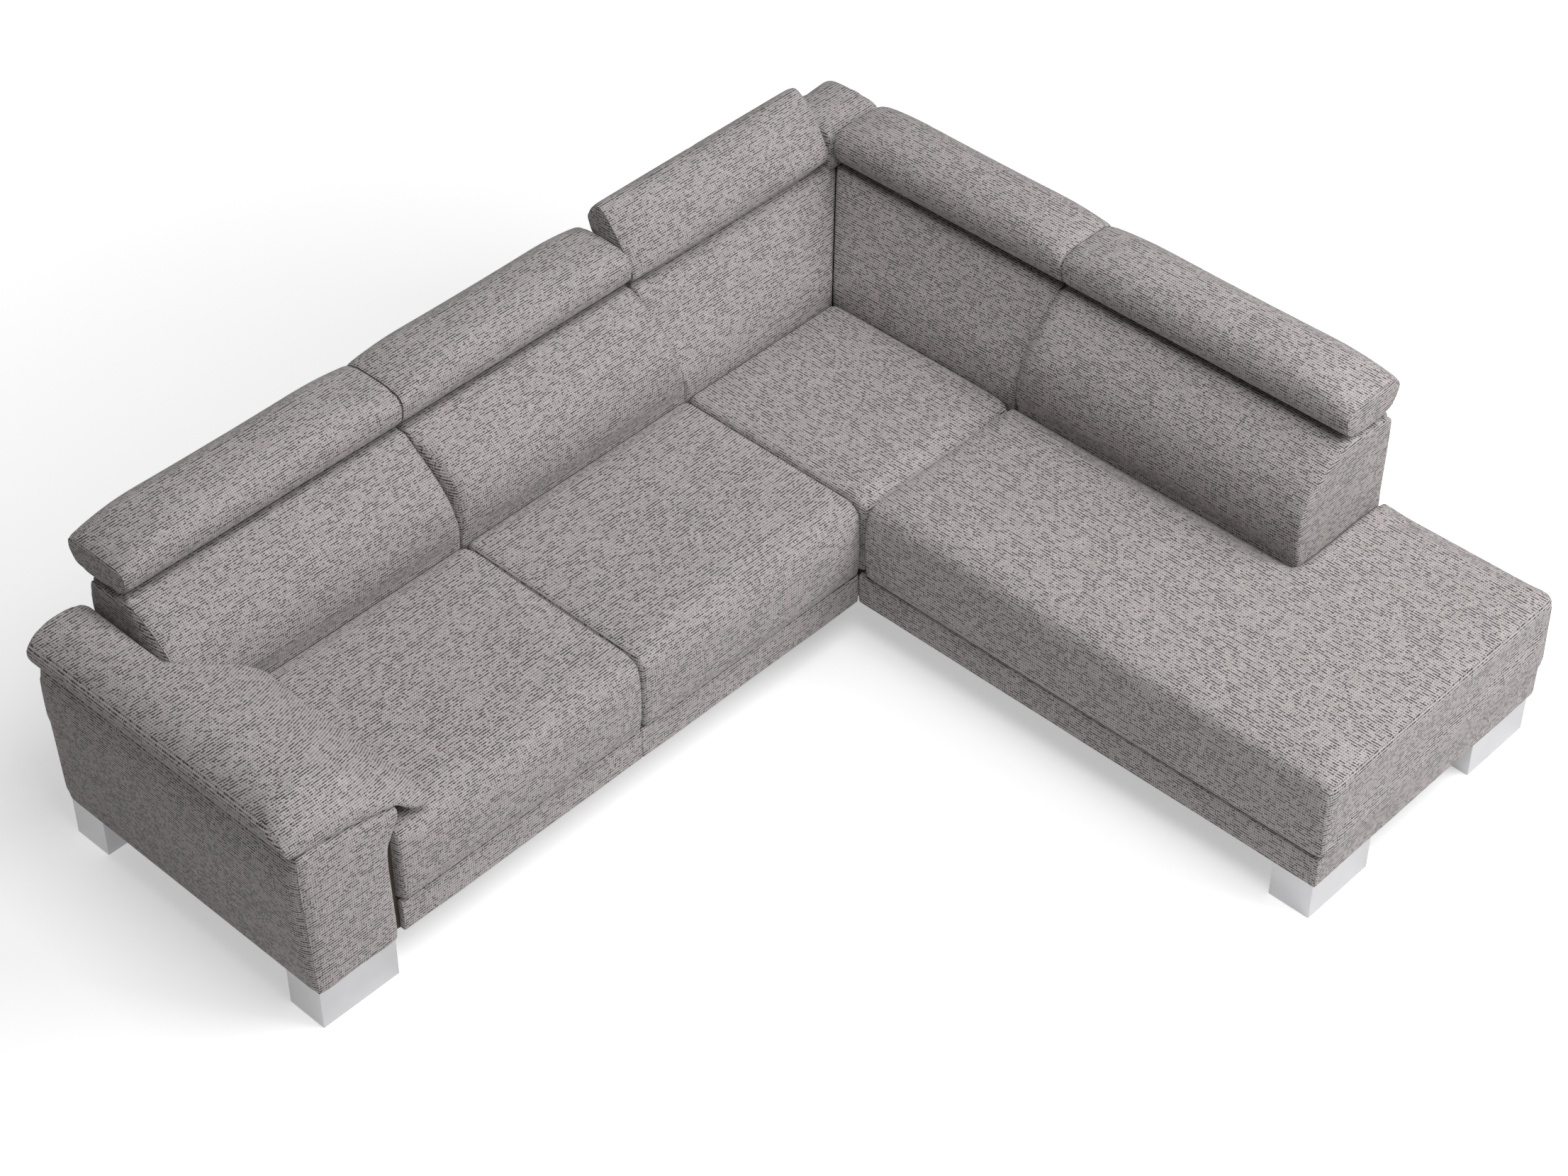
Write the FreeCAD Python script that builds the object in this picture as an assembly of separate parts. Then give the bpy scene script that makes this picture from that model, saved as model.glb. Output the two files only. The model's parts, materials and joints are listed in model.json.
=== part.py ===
import FreeCAD
import Part
import math
import os

from FreeCAD import Vector

# Corner sofa with five click headrests, one arm on the left and a chaise on the right.
# Working frame: the floor below the inner corner of the two wings. X runs to the chaise side,
# Y to the back of the long wing, Z up. Every piece is moved at the end so that the origin is the
# middle of the sofa's outline on the floor. All sizes are millimetres.

# Plan
seat_bay = 730.0              # width of each of the two seats on the long wing
arm_width = 231.0             # arm where it meets its feet
arm_gap = 20.0                # spacer board between the arm and the first seat
back_overhang = 104.0         # how far the left back reaches over the arm
long_depth = 853.0            # front apron to rear cover on the long wing
wing_width = 848.0            # corner and chaise, from the seat joint to their rear cover
chaise_reach = 1360.0         # chaise in front of the long wing's apron
wing_back_reach = 880.0       # right back in front of the long wing's apron
wing_division = 27.0          # joint of the two right backs, in front of the same apron
seat_division = 20.0          # joint of corner seat and chaise seat, in front of the same apron
back_division_shift = 5.0     # joint of the left and middle backs, left of the seats' joint
long_back_depth = 278.0       # foot of the long wing's backs to the rear of their cover
wing_back_depth = 322.0       # the same on the right wing

# Heights
foot_height = 111.0
dust_cover_thickness = 1.5
rail_height = 92.5
strap_thickness = 2.0
apron_height = 90.0
seat_height = 428.0
seat_crown = 9.0
crease_height = 708.0         # where a back ends and its headrest begins
headrest_rise = 14.0          # headrest's reference level above the crease
arm_shoulder = 500.0          # arm below the overhanging left back
corner_block_height = 812.0

# Boards, covers and clearances
cover_thickness = 18.0        # aprons and rear covers
rail_thickness = 22.0
post_thickness = 18.0
clearance = 0.3               # between soft solids and their neighbours
overrun = 5.0                 # how far a cut runs past the face it opens

# Seat cushions
seat_proud = 13.0             # seats stand in front of the aprons
seat_tuck = 12.0              # drawn in at the lower seam
seat_edge = 44.0              # rounding of an open top edge
seat_joint_edge = 13.0        # rounding where two seats meet
seat_end_bulge = 3.0

# Backs
back_run = 127.0              # headrest front behind the foot of the back
back_top_fall = 20.0          # top slopes down to the rear
back_top_foam = 20.0
back_wall = 20.0              # foam at the ends of a back, beside its frame
frame_setback = 38.0          # back frame behind the headrest front
back_draw_length = 70.0       # length over which a back's end is drawn in
rear_cover_drop = 6.0         # rear cover below the back's rear edge
mitre_reach_share = 3.0       # of its own length, how far a mitre's cut reaches sideways
full_back_shares = ((0.0, 0.0), (-0.56, -0.17), (-1.05, -0.45), (-1.12, -0.65), (-1.0, -1.0))
flat_back_shares = ((0.10, -0.04), (-0.22, -0.29), (-0.70, -0.58), (-0.92, -0.75), (-1.0, -1.0))

# Headrests
headrest_depth = 200.0
headrest_thickness = 108.0
headrest_panel_height = 68.0  # at the ends, above the reference level
headrest_division_shift = 39.0    # joints of the long wing's headrests, left of its seats' joints
wing_headrest_shift = 14.0    # joint of the right wing's headrests, in front of its backs' joint
headrest_slope_share = 0.24   # of its length, over which its top rises from the end
headrest_knee_share = 0.58
roll_end = 237.0              # degrees, where the lower front roll runs out
headrest_gap = 4.0            # between two headrests
corner_relief = 5.0           # headrests stop short of the corner block
pivot_back = 48.0             # pivot behind the headrest's front
pivot_up = 34.0               # pivot above the headrest's reference level
click_angle = 55.0            # degrees from folded to fully raised
rear_shares = (1.0, 0.38)
rear_top_shares = ((0.965, 0.75), (0.81, 0.96))
top_shares = ((0.50, 1.0), (0.20, 0.84))
front_top_shares = (0.055, 0.62)
bottom_rear_shares = (0.76, -0.14)
rear_low_shares = (0.94, -0.02)

# Click hinges
hinge_place_share = 0.24      # hinge from each end of its headrest
hinge_plate = 3.0
hinge_cheek = 2.0
hinge_play = 0.3
stem_width = 16.0
tooth_root = 15.0
tooth_tip = 18.0
tooth_count = 9
tooth_step = 9.0              # degrees
tooth_start = -14.0           # degrees from the horizontal
tooth_lean_share = 0.8        # tip of a tooth within its step
cheek_radius = 20.0
cheek_corner_angles = (22.5, 67.5, 112.5, 157.5, 202.5, 247.5)
head_corner_angles = (95.0, 130.0, 165.0, 200.0)
pawl_length = 8.0
pawl_height = 7.0
pawl_gap = 0.4
pin_radius = 4.0
pin_play = 0.05
bore_flats = 12
arm_bar_length = 92.0
arm_bar_height = 18.0
flange_length = 46.0
flange_width = 34.0
flange_thickness = 2.0
hinge_foot_length = 60.0
hinge_foot_depth = 46.0
pocket_play = 3.0             # foam stands clear of the hinge

# Headrest boards
board_thickness = 12.0
board_front = 62.0            # behind the headrest's front
board_depth = 96.0
board_level = 4.0             # underside above the reference level
board_end = 46.0              # short of the headrest's ends

# Arm
arm_cover_wall = 15.0
arm_board = 18.0
arm_nose = 12.0               # arm in front of the apron
arm_lean = 20.0               # outer face leans out to its fullest
arm_lean_low_share = 0.6      # of that lean, halfway up
arm_full_height = 470.0
arm_top_outer = 552.0
arm_top_inner = 498.0
arm_ear = 35.0                # inner face steps out over the seat
arm_ear_low = 417.0
arm_ear_high = 482.0
arm_edge = 20.0               # rounding of the upright front edges
pad_overhang = 20.0
pad_lip_height = 588.0
pad_top_height = 643.0
pad_reach = 126.0             # pad over the seat, measured from the arm's foot
pad_tip_rise = 22.0           # tip above the seat
pad_tip = 12.0                # half the thickness of the rounded tip
pad_tip_top_share = 1.5       # upper side of the tip above its middle, of that half
pad_nose = 70.0               # length of the rounded front
pad_front_lift = 9.0          # thickness left at the front seam
pad_nose_share = 0.6          # of its full thickness, a fifth of the way along the nose
pad_shoulder_shares = (0.045, 0.76)
pad_crown_share = 0.36
pad_fall_share = 0.86

# Feet
foot_length = 217.0
foot_depth = 111.0
foot_wall = 3.0
foot_plate = 3.0
foot_inset = 9.0
block_length = 160.0
block_depth = 70.0
support_width = 52.0
support_taper = 6.0
support_inset = 190.0
corner_foot_shift = 11.0

# Base frame, straps and connectors
strap_width = 60.0
strap_inset = 70.0
straps_per_seat = 5
wing_straps = 9
chaise_straps = 3
seat_rail_setback = 120.0     # rail that ends the straps, in front of the rear cover
connector_inset = 290.0
connector_plate = 2.5
connector_width = 46.0
connector_length = 60.0
tongue_length = 44.0
tongue_width = 26.0
tongue_taper = 8.0
socket_wall = 4.0
socket_play = 0.3
cross_rail_shares = (0.0, 0.25, 0.5, 0.75, 1.0)
wing_rail_shares = (0.22, 0.47, 0.72, 0.90)

# Corner block
block_edge = 22.0
block_overhang = 40.0         # behind the long wing's rear cover

# Worked-out levels and places
base_low = foot_height + dust_cover_thickness
base_top = base_low + rail_height
seat_bottom = base_top + strap_thickness + clearance
pad_tip_height = seat_height + pad_tip_rise
back_foot_height = seat_height + seat_crown + seat_crown / 3 + clearance
headrest_level = crease_height + headrest_rise
back_rear_height = crease_height - back_top_fall
rear_cover_height = back_rear_height - rear_cover_drop
frame_top = back_rear_height - back_top_foam
seats_left = -2 * seat_bay
arm_inner = seats_left - arm_gap
long_seat_depth = long_depth - long_back_depth
wing_seat_depth = wing_width - wing_back_depth
arm_outer = arm_inner - arm_width
back_left = seats_left - back_overhang
long_headrest_front = long_seat_depth + back_run
wing_headrest_front = wing_seat_depth + back_run
corner_headrest_end = wing_headrest_front - corner_relief
wing_headrest_end = long_headrest_front - corner_relief

long_wing = {"seat": long_seat_depth, "rear": long_depth, "turn": 0.0}
right_wing = {"seat": wing_seat_depth, "rear": wing_width, "turn": -90.0}


def box(low, high):
    size = high.sub(low)
    return Part.makeBox(size.x, size.y, size.z, low)


def arc(start, middle, end):
    return Part.Arc(start, middle, end).toShape()


def outline(edges):
    return Part.Wire(edges)


def polygon(points):
    return Part.makePolygon(points + [points[0]])


def prism(wire, way):
    return Part.Face(wire).extrude(way)


def loft(wires):
    """A closed solid through a row of outlines, straight from each one to the next."""
    return Part.makeLoft(wires, True, True)


def cylinder_x(radius, length, centre):
    return Part.makeCylinder(radius, length, centre, Vector(1, 0, 0))


def to_wing(shape, wing):
    """Turn a piece made for the long wing to the wing that it belongs to."""
    turned = shape.copy()
    turned.rotate(Vector(0, 0, 0), Vector(0, 0, 1), wing["turn"])
    return turned


# Feet and what fastens them


def foot_table():
    """Each foot's centre, and the centre of the block that it is screwed to."""
    half_x = foot_length / 2
    half_y = foot_depth / 2
    arm_x = arm_outer + arm_width / 2
    wing_x = wing_width - foot_inset - half_x
    inner_x = foot_inset + half_x
    block_in = cover_thickness + rail_thickness + block_depth / 2 + clearance
    front_y = -chaise_reach + foot_inset + half_y
    block_front = -chaise_reach + block_in
    rear_y = long_depth - half_y
    block_rear = long_depth - block_in
    wing_block_x = wing_width - cover_thickness - rail_thickness - block_length / 2 - clearance
    inner_block_x = cover_thickness + rail_thickness + block_length / 2 + clearance
    arm_block_front = block_in - cover_thickness
    return {
        "foot_arm_front": (arm_x, half_y - clearance, arm_x, arm_block_front),
        "foot_arm_rear": (arm_x, rear_y, arm_x, block_rear),
        "foot_chaise_left": (inner_x, front_y, inner_block_x, block_front),
        "foot_chaise_right": (wing_x, front_y, wing_block_x, block_front),
        "foot_corner_rear": (wing_x, rear_y, wing_block_x, block_rear),
        "foot_wing_rear": (wing_x, corner_foot_shift, wing_block_x, corner_foot_shift),
    }


def foot_body(place):
    """A pressed metal block, open at the top below its plate."""
    x, y = place[0], place[1]
    half = Vector(foot_length / 2, foot_depth / 2, 0)
    low = Vector(x, y, 0).sub(half)
    high = Vector(x, y, foot_height - foot_plate).add(half)
    wall = Vector(foot_wall, foot_wall, 0)
    hollow = box(low.add(wall).add(Vector(0, 0, foot_wall)), high.sub(wall).add(Vector(0, 0, overrun)))
    return box(low, high).cut(hollow)


def foot_plates(table):
    """Steel plates that close the feet and are screwed up into the blocks."""
    plates = []
    for place in table.values():
        half = Vector(foot_length / 2, foot_depth / 2, 0)
        low = Vector(place[0], place[1], foot_height - foot_plate).sub(half)
        plates.append(box(low, Vector(place[0], place[1], foot_height).add(half)))
    return Part.makeCompound(plates)


def foot_blocks(table):
    """Glued wooden blocks in the frame, one above each foot."""
    blocks = []
    for place in table.values():
        half = Vector(block_length / 2, block_depth / 2, 0)
        low = Vector(place[2], place[3], base_low).sub(half)
        blocks.append(box(low, Vector(place[2], place[3], base_top).add(half)))
    return Part.makeCompound(blocks)


def square(x, y, half, height):
    return polygon([
        Vector(x - half, y - half, height),
        Vector(x + half, y - half, height),
        Vector(x + half, y + half, height),
        Vector(x - half, y + half, height),
    ])


def support_legs():
    """Tapered legs out of sight, below the cross rails."""
    half = support_width / 2
    spots = (
        (-seat_bay, support_inset),
        (-seat_bay, long_depth - support_inset),
        (0, support_inset),
        (0, long_depth - support_inset),
        (wing_width / 2, -wing_back_reach),
    )
    return Part.makeCompound([
        loft([square(x, y, half - support_taper, 0), square(x, y, half, foot_height)])
        for x, y in spots
    ])


# Base frames


def long_rails():
    """Front rail, the rail that ends the straps, and the rear rail of the long module."""
    front = cover_thickness
    middle = long_depth - seat_rail_setback - rail_thickness
    rear = long_depth - cover_thickness - rail_thickness
    rails = []
    for start in (front, middle, rear):
        low = Vector(seats_left, start, base_low)
        rails.append(box(low, Vector(cover_thickness, start + rail_thickness, base_top)))
    return Part.makeCompound(rails)


def long_cross_rails():
    """Rails across the long module, between its front, middle and rear rails."""
    front = cover_thickness + rail_thickness
    middle_back = long_depth - seat_rail_setback
    rear = long_depth - cover_thickness - rail_thickness
    span = cover_thickness - seats_left - rail_thickness
    rails = []
    for share in cross_rail_shares:
        left = seats_left + share * span
        for near, far in ((front, middle_back - rail_thickness), (middle_back, rear)):
            low = Vector(left, near, base_low)
            rails.append(box(low, Vector(left + rail_thickness, far, base_top)))
    return Part.makeCompound(rails)


def wing_side_rails():
    """The corner module's two side rails."""
    front = -chaise_reach + cover_thickness
    rear = long_depth - cover_thickness
    outer = wing_width - cover_thickness - rail_thickness
    rails = []
    for left in (cover_thickness, outer):
        low = Vector(left, front, base_low)
        rails.append(box(low, Vector(left + rail_thickness, rear, base_top)))
    return Part.makeCompound(rails)


def wing_cross_rails():
    """Front and rear rails of the corner module and the rails between them."""
    left = cover_thickness + rail_thickness
    right = wing_width - cover_thickness - rail_thickness
    front = -chaise_reach + cover_thickness
    rear = long_depth - cover_thickness
    span = rear - front
    starts = [front, rear - rail_thickness] + [front + share * span for share in wing_rail_shares]
    rails = []
    for start in starts:
        low = Vector(left, start, base_low)
        rails.append(box(low, Vector(right, start + rail_thickness, base_top)))
    return Part.makeCompound(rails)


def connector_places():
    """Joints under the frame: arm to seats, and seats to corner."""
    joints = (arm_inner + arm_gap / 2, cover_thickness)
    rows = (connector_inset, long_depth - connector_inset)
    return [(joint, row) for joint in joints for row in rows]


def connector_tongues():
    """Plates on the left of each joint, each with a tapered tongue that reaches over it."""
    high = foot_height
    tongues = []
    for joint, row in connector_places():
        half = connector_width / 2
        plate = box(
            Vector(joint - connector_length, row - half, high - connector_plate),
            Vector(joint, row + half, high),
        )
        wide = tongue_width / 2
        narrow = wide - tongue_taper
        tongue = prism(
            polygon([
                Vector(joint, row - wide, high - connector_plate),
                Vector(joint + tongue_length, row - narrow, high - connector_plate),
                Vector(joint + tongue_length, row + narrow, high - connector_plate),
                Vector(joint, row + wide, high - connector_plate),
            ]),
            Vector(0, 0, connector_plate),
        )
        tongues.append(plate.fuse(tongue).removeSplitter())
    return Part.makeCompound(tongues)


def connector_sockets():
    """Channels on the right of each joint that hold the tongues from the sides and below."""
    high = foot_height
    sockets = []
    for joint, row in connector_places():
        start = joint + socket_play
        half = tongue_width / 2 + socket_play + socket_wall
        low = high - connector_plate - socket_play - connector_plate
        body = box(Vector(start, row - half, low), Vector(start + connector_length, row + half, high))
        wide = tongue_width / 2 + socket_play
        narrow = wide - tongue_taper
        level = high - connector_plate - socket_play
        end = joint + tongue_length + socket_wall
        room = prism(
            polygon([
                Vector(joint, row - wide, level),
                Vector(end, row - narrow, level),
                Vector(end, row + narrow, level),
                Vector(joint, row + wide, level),
            ]),
            Vector(0, 0, connector_plate + overrun),
        )
        sockets.append(body.cut(room))
    return Part.makeCompound(sockets)


def seat_straps():
    """Elastic straps over the frames: front to back on the long module, across on the other."""
    straps = []
    high = base_top + strap_thickness
    strap_rear = long_depth - seat_rail_setback
    for bay in (0, 1):
        left = seats_left + bay * seat_bay + strap_inset
        step = (seat_bay - 2 * strap_inset - strap_width) / (straps_per_seat - 1)
        for number in range(straps_per_seat):
            x = left + number * step
            low = Vector(x, cover_thickness, base_top)
            straps.append(box(low, Vector(x + strap_width, strap_rear, high)))
    front = -chaise_reach + 2 * cover_thickness + rail_thickness
    rows = chaise_straps + wing_straps
    step = (long_seat_depth - front - strap_width) / (rows - 1)
    for number in range(rows):
        y = front + number * step
        low = Vector(cover_thickness, y, base_top)
        straps.append(box(low, Vector(wing_width - cover_thickness, y + strap_width, high)))
    return Part.makeCompound(straps)


def dust_cover(low_x, high_x, low_y, high_y):
    return box(Vector(low_x, low_y, foot_height), Vector(high_x, high_y, base_low))


def dust_cover_long():
    """Cloth stapled under the seats' frame, and under the arm's."""
    rear = long_depth - cover_thickness
    seats = dust_cover(seats_left, cover_thickness, cover_thickness, rear)
    left = arm_outer + arm_cover_wall
    right = arm_inner - arm_cover_wall
    arm = dust_cover(left, right, arm_cover_wall - arm_nose, long_depth - arm_cover_wall)
    return Part.makeCompound([seats, arm])


def dust_cover_wing():
    return dust_cover(
        cover_thickness,
        wing_width - cover_thickness,
        -chaise_reach + cover_thickness,
        long_depth - cover_thickness,
    )


# Aprons and rear covers


def apron_outline():
    """Side outline of an apron: a padded board with soft outer edges."""
    edge = cover_thickness / 3
    low = foot_height
    high = foot_height + apron_height
    corner = edge * (1 - math.sqrt(0.5))
    points = [Vector(0, cover_thickness, low), Vector(0, edge, low), Vector(0, 0, low + edge)]
    points += [Vector(0, 0, high - edge), Vector(0, edge, high), Vector(0, cover_thickness, high)]
    return outline([
        Part.makeLine(points[0], points[1]),
        arc(points[1], Vector(0, corner, low + corner), points[2]),
        Part.makeLine(points[2], points[3]),
        arc(points[3], Vector(0, corner, high - corner), points[4]),
        Part.makeLine(points[4], points[5]),
        Part.makeLine(points[5], points[0]),
    ])


def apron(length, start, turn):
    """An apron that starts at a point and runs along X, turned about that point."""
    board = prism(apron_outline(), Vector(length, 0, 0))
    board.rotate(Vector(0, 0, 0), Vector(0, 0, 1), turn)
    board.translate(start)
    return board


def aprons():
    reach = chaise_reach - cover_thickness
    return {
        "apron_left": apron(seat_bay - clearance, Vector(seats_left, 0, 0), 0),
        "apron_middle": apron(seat_bay, Vector(-seat_bay, 0, 0), 0),
        "apron_chaise_inner": apron(reach, Vector(0, 0, 0), -90),
        "apron_chaise_front": apron(wing_width, Vector(0, -chaise_reach, 0), 0),
        "apron_chaise_outer": apron(
            reach - wing_back_reach, Vector(wing_width, -chaise_reach + cover_thickness, 0), 90
        ),
    }


def rear_cover_long():
    """Padded panel behind the long wing; its left end passes over the arm."""
    rear = long_depth
    points = [
        (seats_left, foot_height),
        (wing_width - cover_thickness, foot_height),
        (wing_width - cover_thickness, rear_cover_height),
        (back_left, rear_cover_height),
        (back_left, arm_top_outer),
        (seats_left, arm_top_outer),
    ]
    face = polygon([Vector(x, rear, z) for x, z in points])
    return prism(face, Vector(0, -cover_thickness, 0))


def rear_cover_wing():
    low = Vector(wing_width - cover_thickness, -wing_back_reach, foot_height)
    return box(low, Vector(wing_width, long_depth, rear_cover_height))


# Seat cushions


def seat_side(x, front, rear, drop, bulge):
    """Side outline of a seat at one place along X: soft front edge and a crowned top."""
    top = seat_height - drop
    middle = (front + rear) / 2
    face = front - bulge
    corner = seat_edge * (1 - math.sqrt(0.5))
    low_front = Vector(x, front + seat_tuck, seat_bottom)
    face_high = Vector(x, face, top - seat_edge)
    edge_end = Vector(x, face + seat_edge, top)
    rear_high = Vector(x, rear, top)
    rear_low = Vector(x, rear, seat_bottom)
    return outline([
        arc(low_front, Vector(x, face, (seat_bottom + top) / 2 - seat_edge), face_high),
        arc(face_high, Vector(x, face + corner, top - corner), edge_end),
        arc(edge_end, Vector(x, middle, top + seat_crown), rear_high),
        Part.makeLine(rear_high, rear_low),
        Part.makeLine(rear_low, low_front),
    ])


def long_seat(left, right):
    """A seat of the long wing, drawn in where it meets its neighbours."""
    front = -seat_proud
    rear = long_seat_depth - clearance
    joint = seat_joint_edge
    middle = (left + right) / 2
    stations = (
        (left, joint, 0),
        (left + joint / 3, joint / 3, seat_end_bulge / 3),
        (left + joint, 0, seat_end_bulge / 2),
        (middle, -seat_crown / 3, seat_end_bulge),
        (right - joint, 0, seat_end_bulge / 2),
        (right - joint / 3, joint / 3, seat_end_bulge / 3),
        (right, joint, 0),
    )
    return loft([seat_side(x, front, rear, drop, bulge) for x, drop, bulge in stations])


def flat_side(x, front, rear, drop):
    """Side outline of the corner seat, which shows its top alone."""
    top = seat_height - drop
    joint = seat_joint_edge
    corner = joint * (1 - math.sqrt(0.5))
    low_front = Vector(x, front, seat_bottom)
    face_high = Vector(x, front, top - joint)
    edge_end = Vector(x, front + joint, top)
    rear_high = Vector(x, rear, top)
    rear_low = Vector(x, rear, seat_bottom)
    return outline([
        Part.makeLine(low_front, face_high),
        arc(face_high, Vector(x, front + corner, top - corner), edge_end),
        arc(edge_end, Vector(x, (front + rear) / 2, top + seat_crown), rear_high),
        Part.makeLine(rear_high, rear_low),
        Part.makeLine(rear_low, low_front),
    ])


def corner_seat():
    left = clearance
    right = wing_seat_depth - clearance
    joint = seat_joint_edge
    front = -seat_division + clearance
    rear = long_seat_depth - clearance
    middle = (left + right) / 2
    stations = ((left, joint), (left + joint / 3, joint / 3), (left + joint, 0), (middle, 0), (right, 0))
    return loft([flat_side(x, front, rear, drop) for x, drop in stations])


def chaise_section(y, draw, drop):
    """Cross-section of the chaise seat at one place along Y, both sides open."""
    left = -seat_proud + draw
    right = wing_width + seat_end_bulge - draw
    top = seat_height - drop
    corner = seat_edge * (1 - math.sqrt(0.5))
    level = (seat_bottom + top) / 2 - seat_edge / 2
    low_left = Vector(left + seat_tuck, y, seat_bottom)
    low_right = Vector(right - seat_tuck, y, seat_bottom)
    left_high = Vector(left, y, top - seat_edge)
    right_high = Vector(right, y, top - seat_edge)
    left_end = Vector(left + seat_edge, y, top)
    right_end = Vector(right - seat_edge, y, top)
    return outline([
        arc(low_left, Vector(left, y, level), left_high),
        arc(left_high, Vector(left + corner, y, top - corner), left_end),
        arc(left_end, Vector((left + right) / 2, y, top + seat_crown), right_end),
        arc(right_end, Vector(right - corner, y, top - corner), right_high),
        arc(right_high, Vector(right, y, level), low_right),
        Part.makeLine(low_right, low_left),
    ])


def chaise_seat():
    """The long seat; a step in its rear half leaves room for the right back."""
    front = -chaise_reach - seat_proud
    rear = -seat_division - clearance
    edge = seat_edge
    joint = seat_joint_edge
    stations = (
        (front, edge / 6, edge),
        (front + edge / 4, edge / 12, edge / 3),
        (front + edge, 0, 0),
        ((front + rear) / 2, 0, -seat_crown / 3),
        (rear - joint, 0, 0),
        (rear, joint / 3, joint),
    )
    seat = loft([chaise_section(y, draw, drop) for y, draw, drop in stations])
    low = Vector(wing_seat_depth - clearance, -wing_back_reach - clearance, seat_bottom - overrun)
    high = Vector(wing_width + seat_edge, rear + overrun, seat_height + seat_edge)
    return seat.cut(box(low, high))


# Backs


def back_points(wing, shares):
    """Front of a back from its crease down to its foot, as depth and height."""
    front = wing["seat"] + back_run
    tall = crease_height - back_foot_height
    return [(front + across * back_run, crease_height + up * tall) for across, up in shares]


def blend(first, second, amount):
    return [
        (a[0] + (b[0] - a[0]) * amount, a[1] + (b[1] - a[1]) * amount)
        for a, b in zip(first, second)
    ]


def back_side(wing, along, amount, grow=0.0):
    """Side outline of a back: amount 0 is the full form and 1 the flat one."""
    rear = wing["rear"] - cover_thickness
    points = blend(back_points(wing, full_back_shares), back_points(wing, flat_back_shares), amount)
    front = [Vector(along, depth - grow, height) for depth, height in points]
    crease, upper, belly, lower, foot = front
    top_rear = Vector(along, rear, back_rear_height)
    rear_low = Vector(along, rear, seat_bottom)
    front_low = Vector(along, wing["seat"] - grow, seat_bottom)
    return outline([
        arc(crease, upper, belly),
        arc(belly, lower, foot),
        Part.makeLine(foot, front_low),
        Part.makeLine(front_low, rear_low),
        Part.makeLine(rear_low, top_rear),
        Part.makeLine(top_rear, crease),
    ])


def frame_hollow(wing, start, end):
    """Room for the wooden frame behind a back's foam, open to the rear cover."""
    low = Vector(start, wing["seat"] + back_run + frame_setback, seat_bottom - overrun)
    return box(low, Vector(end, wing["rear"], frame_top))


def full_back(wing, start, end, start_panel, end_panel):
    """A full back: bulging between its ends, drawn in where it meets its neighbour."""
    draw = back_draw_length
    stations = [(start, 0.0)] if start_panel else [(start, 1.0), (start + draw, 0.0)]
    stations += [(end, 0.0)] if end_panel else [(end - draw, 0.0), (end, 1.0)]
    return loft([back_side(wing, along, amount) for along, amount in stations])


def flat_back(wing, start, end):
    return loft([back_side(wing, start, 1.0), back_side(wing, end, 1.0)])


def mitre_cut(shape, keep_long):
    """Cut a back along the upright plane between the inner and outer corners."""
    inner = Vector(wing_seat_depth, long_seat_depth, seat_bottom - overrun)
    outer = Vector(wing_width, long_depth, seat_bottom - overrun)
    way = outer.sub(inner)
    inner = inner.sub(way)
    outer = outer.add(way)
    side = Vector(way.y, -way.x, 0).multiply(1 if keep_long else -1)
    wire = polygon([inner, outer, outer.add(side * mitre_reach_share), inner.add(side * mitre_reach_share)])
    return shape.cut(prism(wire, Vector(0, 0, crease_height)))


def hinge_places(start, end):
    inset = (end - start) * hinge_place_share
    return (start + inset, end - inset)


def back_pockets(wing, start, end):
    """Slots in the top foam for the hinges that stand on the frame."""
    front = wing["seat"] + back_run
    pockets = []
    for place in hinge_places(start, end):
        low = Vector(
            place - hinge_foot_length / 2 - clearance, front + frame_setback, frame_top - overrun
        )
        high = Vector(
            place + hinge_foot_length / 2 + clearance,
            front + frame_setback + hinge_foot_depth + clearance,
            frame_top + hinge_plate + clearance,
        )
        pockets.append(box(low, high))
        half = hinge_plate / 2 + hinge_cheek + pocket_play
        low = Vector(place - half, front + frame_setback, frame_top - overrun)
        far = front + pivot_back + stem_width / 2 + pocket_play
        pockets.append(box(low, Vector(place + half, far, crease_height + overrun)))
    return pockets


def section_table():
    """Each back: its wing, its ends along that wing, and the ends of its headrest."""
    first = -seat_bay - back_division_shift
    first_head = -seat_bay - headrest_division_shift
    next_head = -headrest_division_shift
    wing_head = wing_division + wing_headrest_shift
    return {
        "left": (long_wing, back_left, first, back_left, first_head),
        "middle": (long_wing, first, 0, first_head, next_head),
        "corner": (long_wing, 0, wing_width - cover_thickness, next_head, corner_headrest_end),
        "right_corner": (
            right_wing, -long_depth + cover_thickness, wing_division, -wing_headrest_end, wing_head
        ),
        "right_chaise": (right_wing, wing_division, wing_back_reach, wing_head, wing_back_reach),
    }


def frame_ends(name, section):
    """Where a back's wooden frame starts and ends along its wing."""
    wing, start, end, head_start, head_end = section
    start = max(start, head_start)
    end = min(end, head_end)
    if name == "left":
        start = seats_left
    return start + back_wall, end - back_wall


def back_cushion(name, section):
    wing, start, end = section[:3]
    start = start + clearance
    end = end - clearance
    if name in ("corner", "right_corner"):
        back = mitre_cut(to_wing(flat_back(wing, start, end), wing), name == "corner")
        back.rotate(Vector(0, 0, 0), Vector(0, 0, 1), -wing["turn"])
    else:
        back = full_back(wing, start, end, name == "left", name == "right_chaise")
    if name == "left":
        low = Vector(back_left - overrun, 0, 0)
        back = back.cut(box(low, Vector(seats_left + clearance, long_depth, arm_shoulder)))
    frame_start, frame_end = frame_ends(name, section)
    back = back.cut(frame_hollow(wing, frame_start, frame_end))
    for pocket in back_pockets(wing, *headrest_ends(section)):
        back = back.cut(pocket)
    return to_wing(back, wing)


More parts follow.
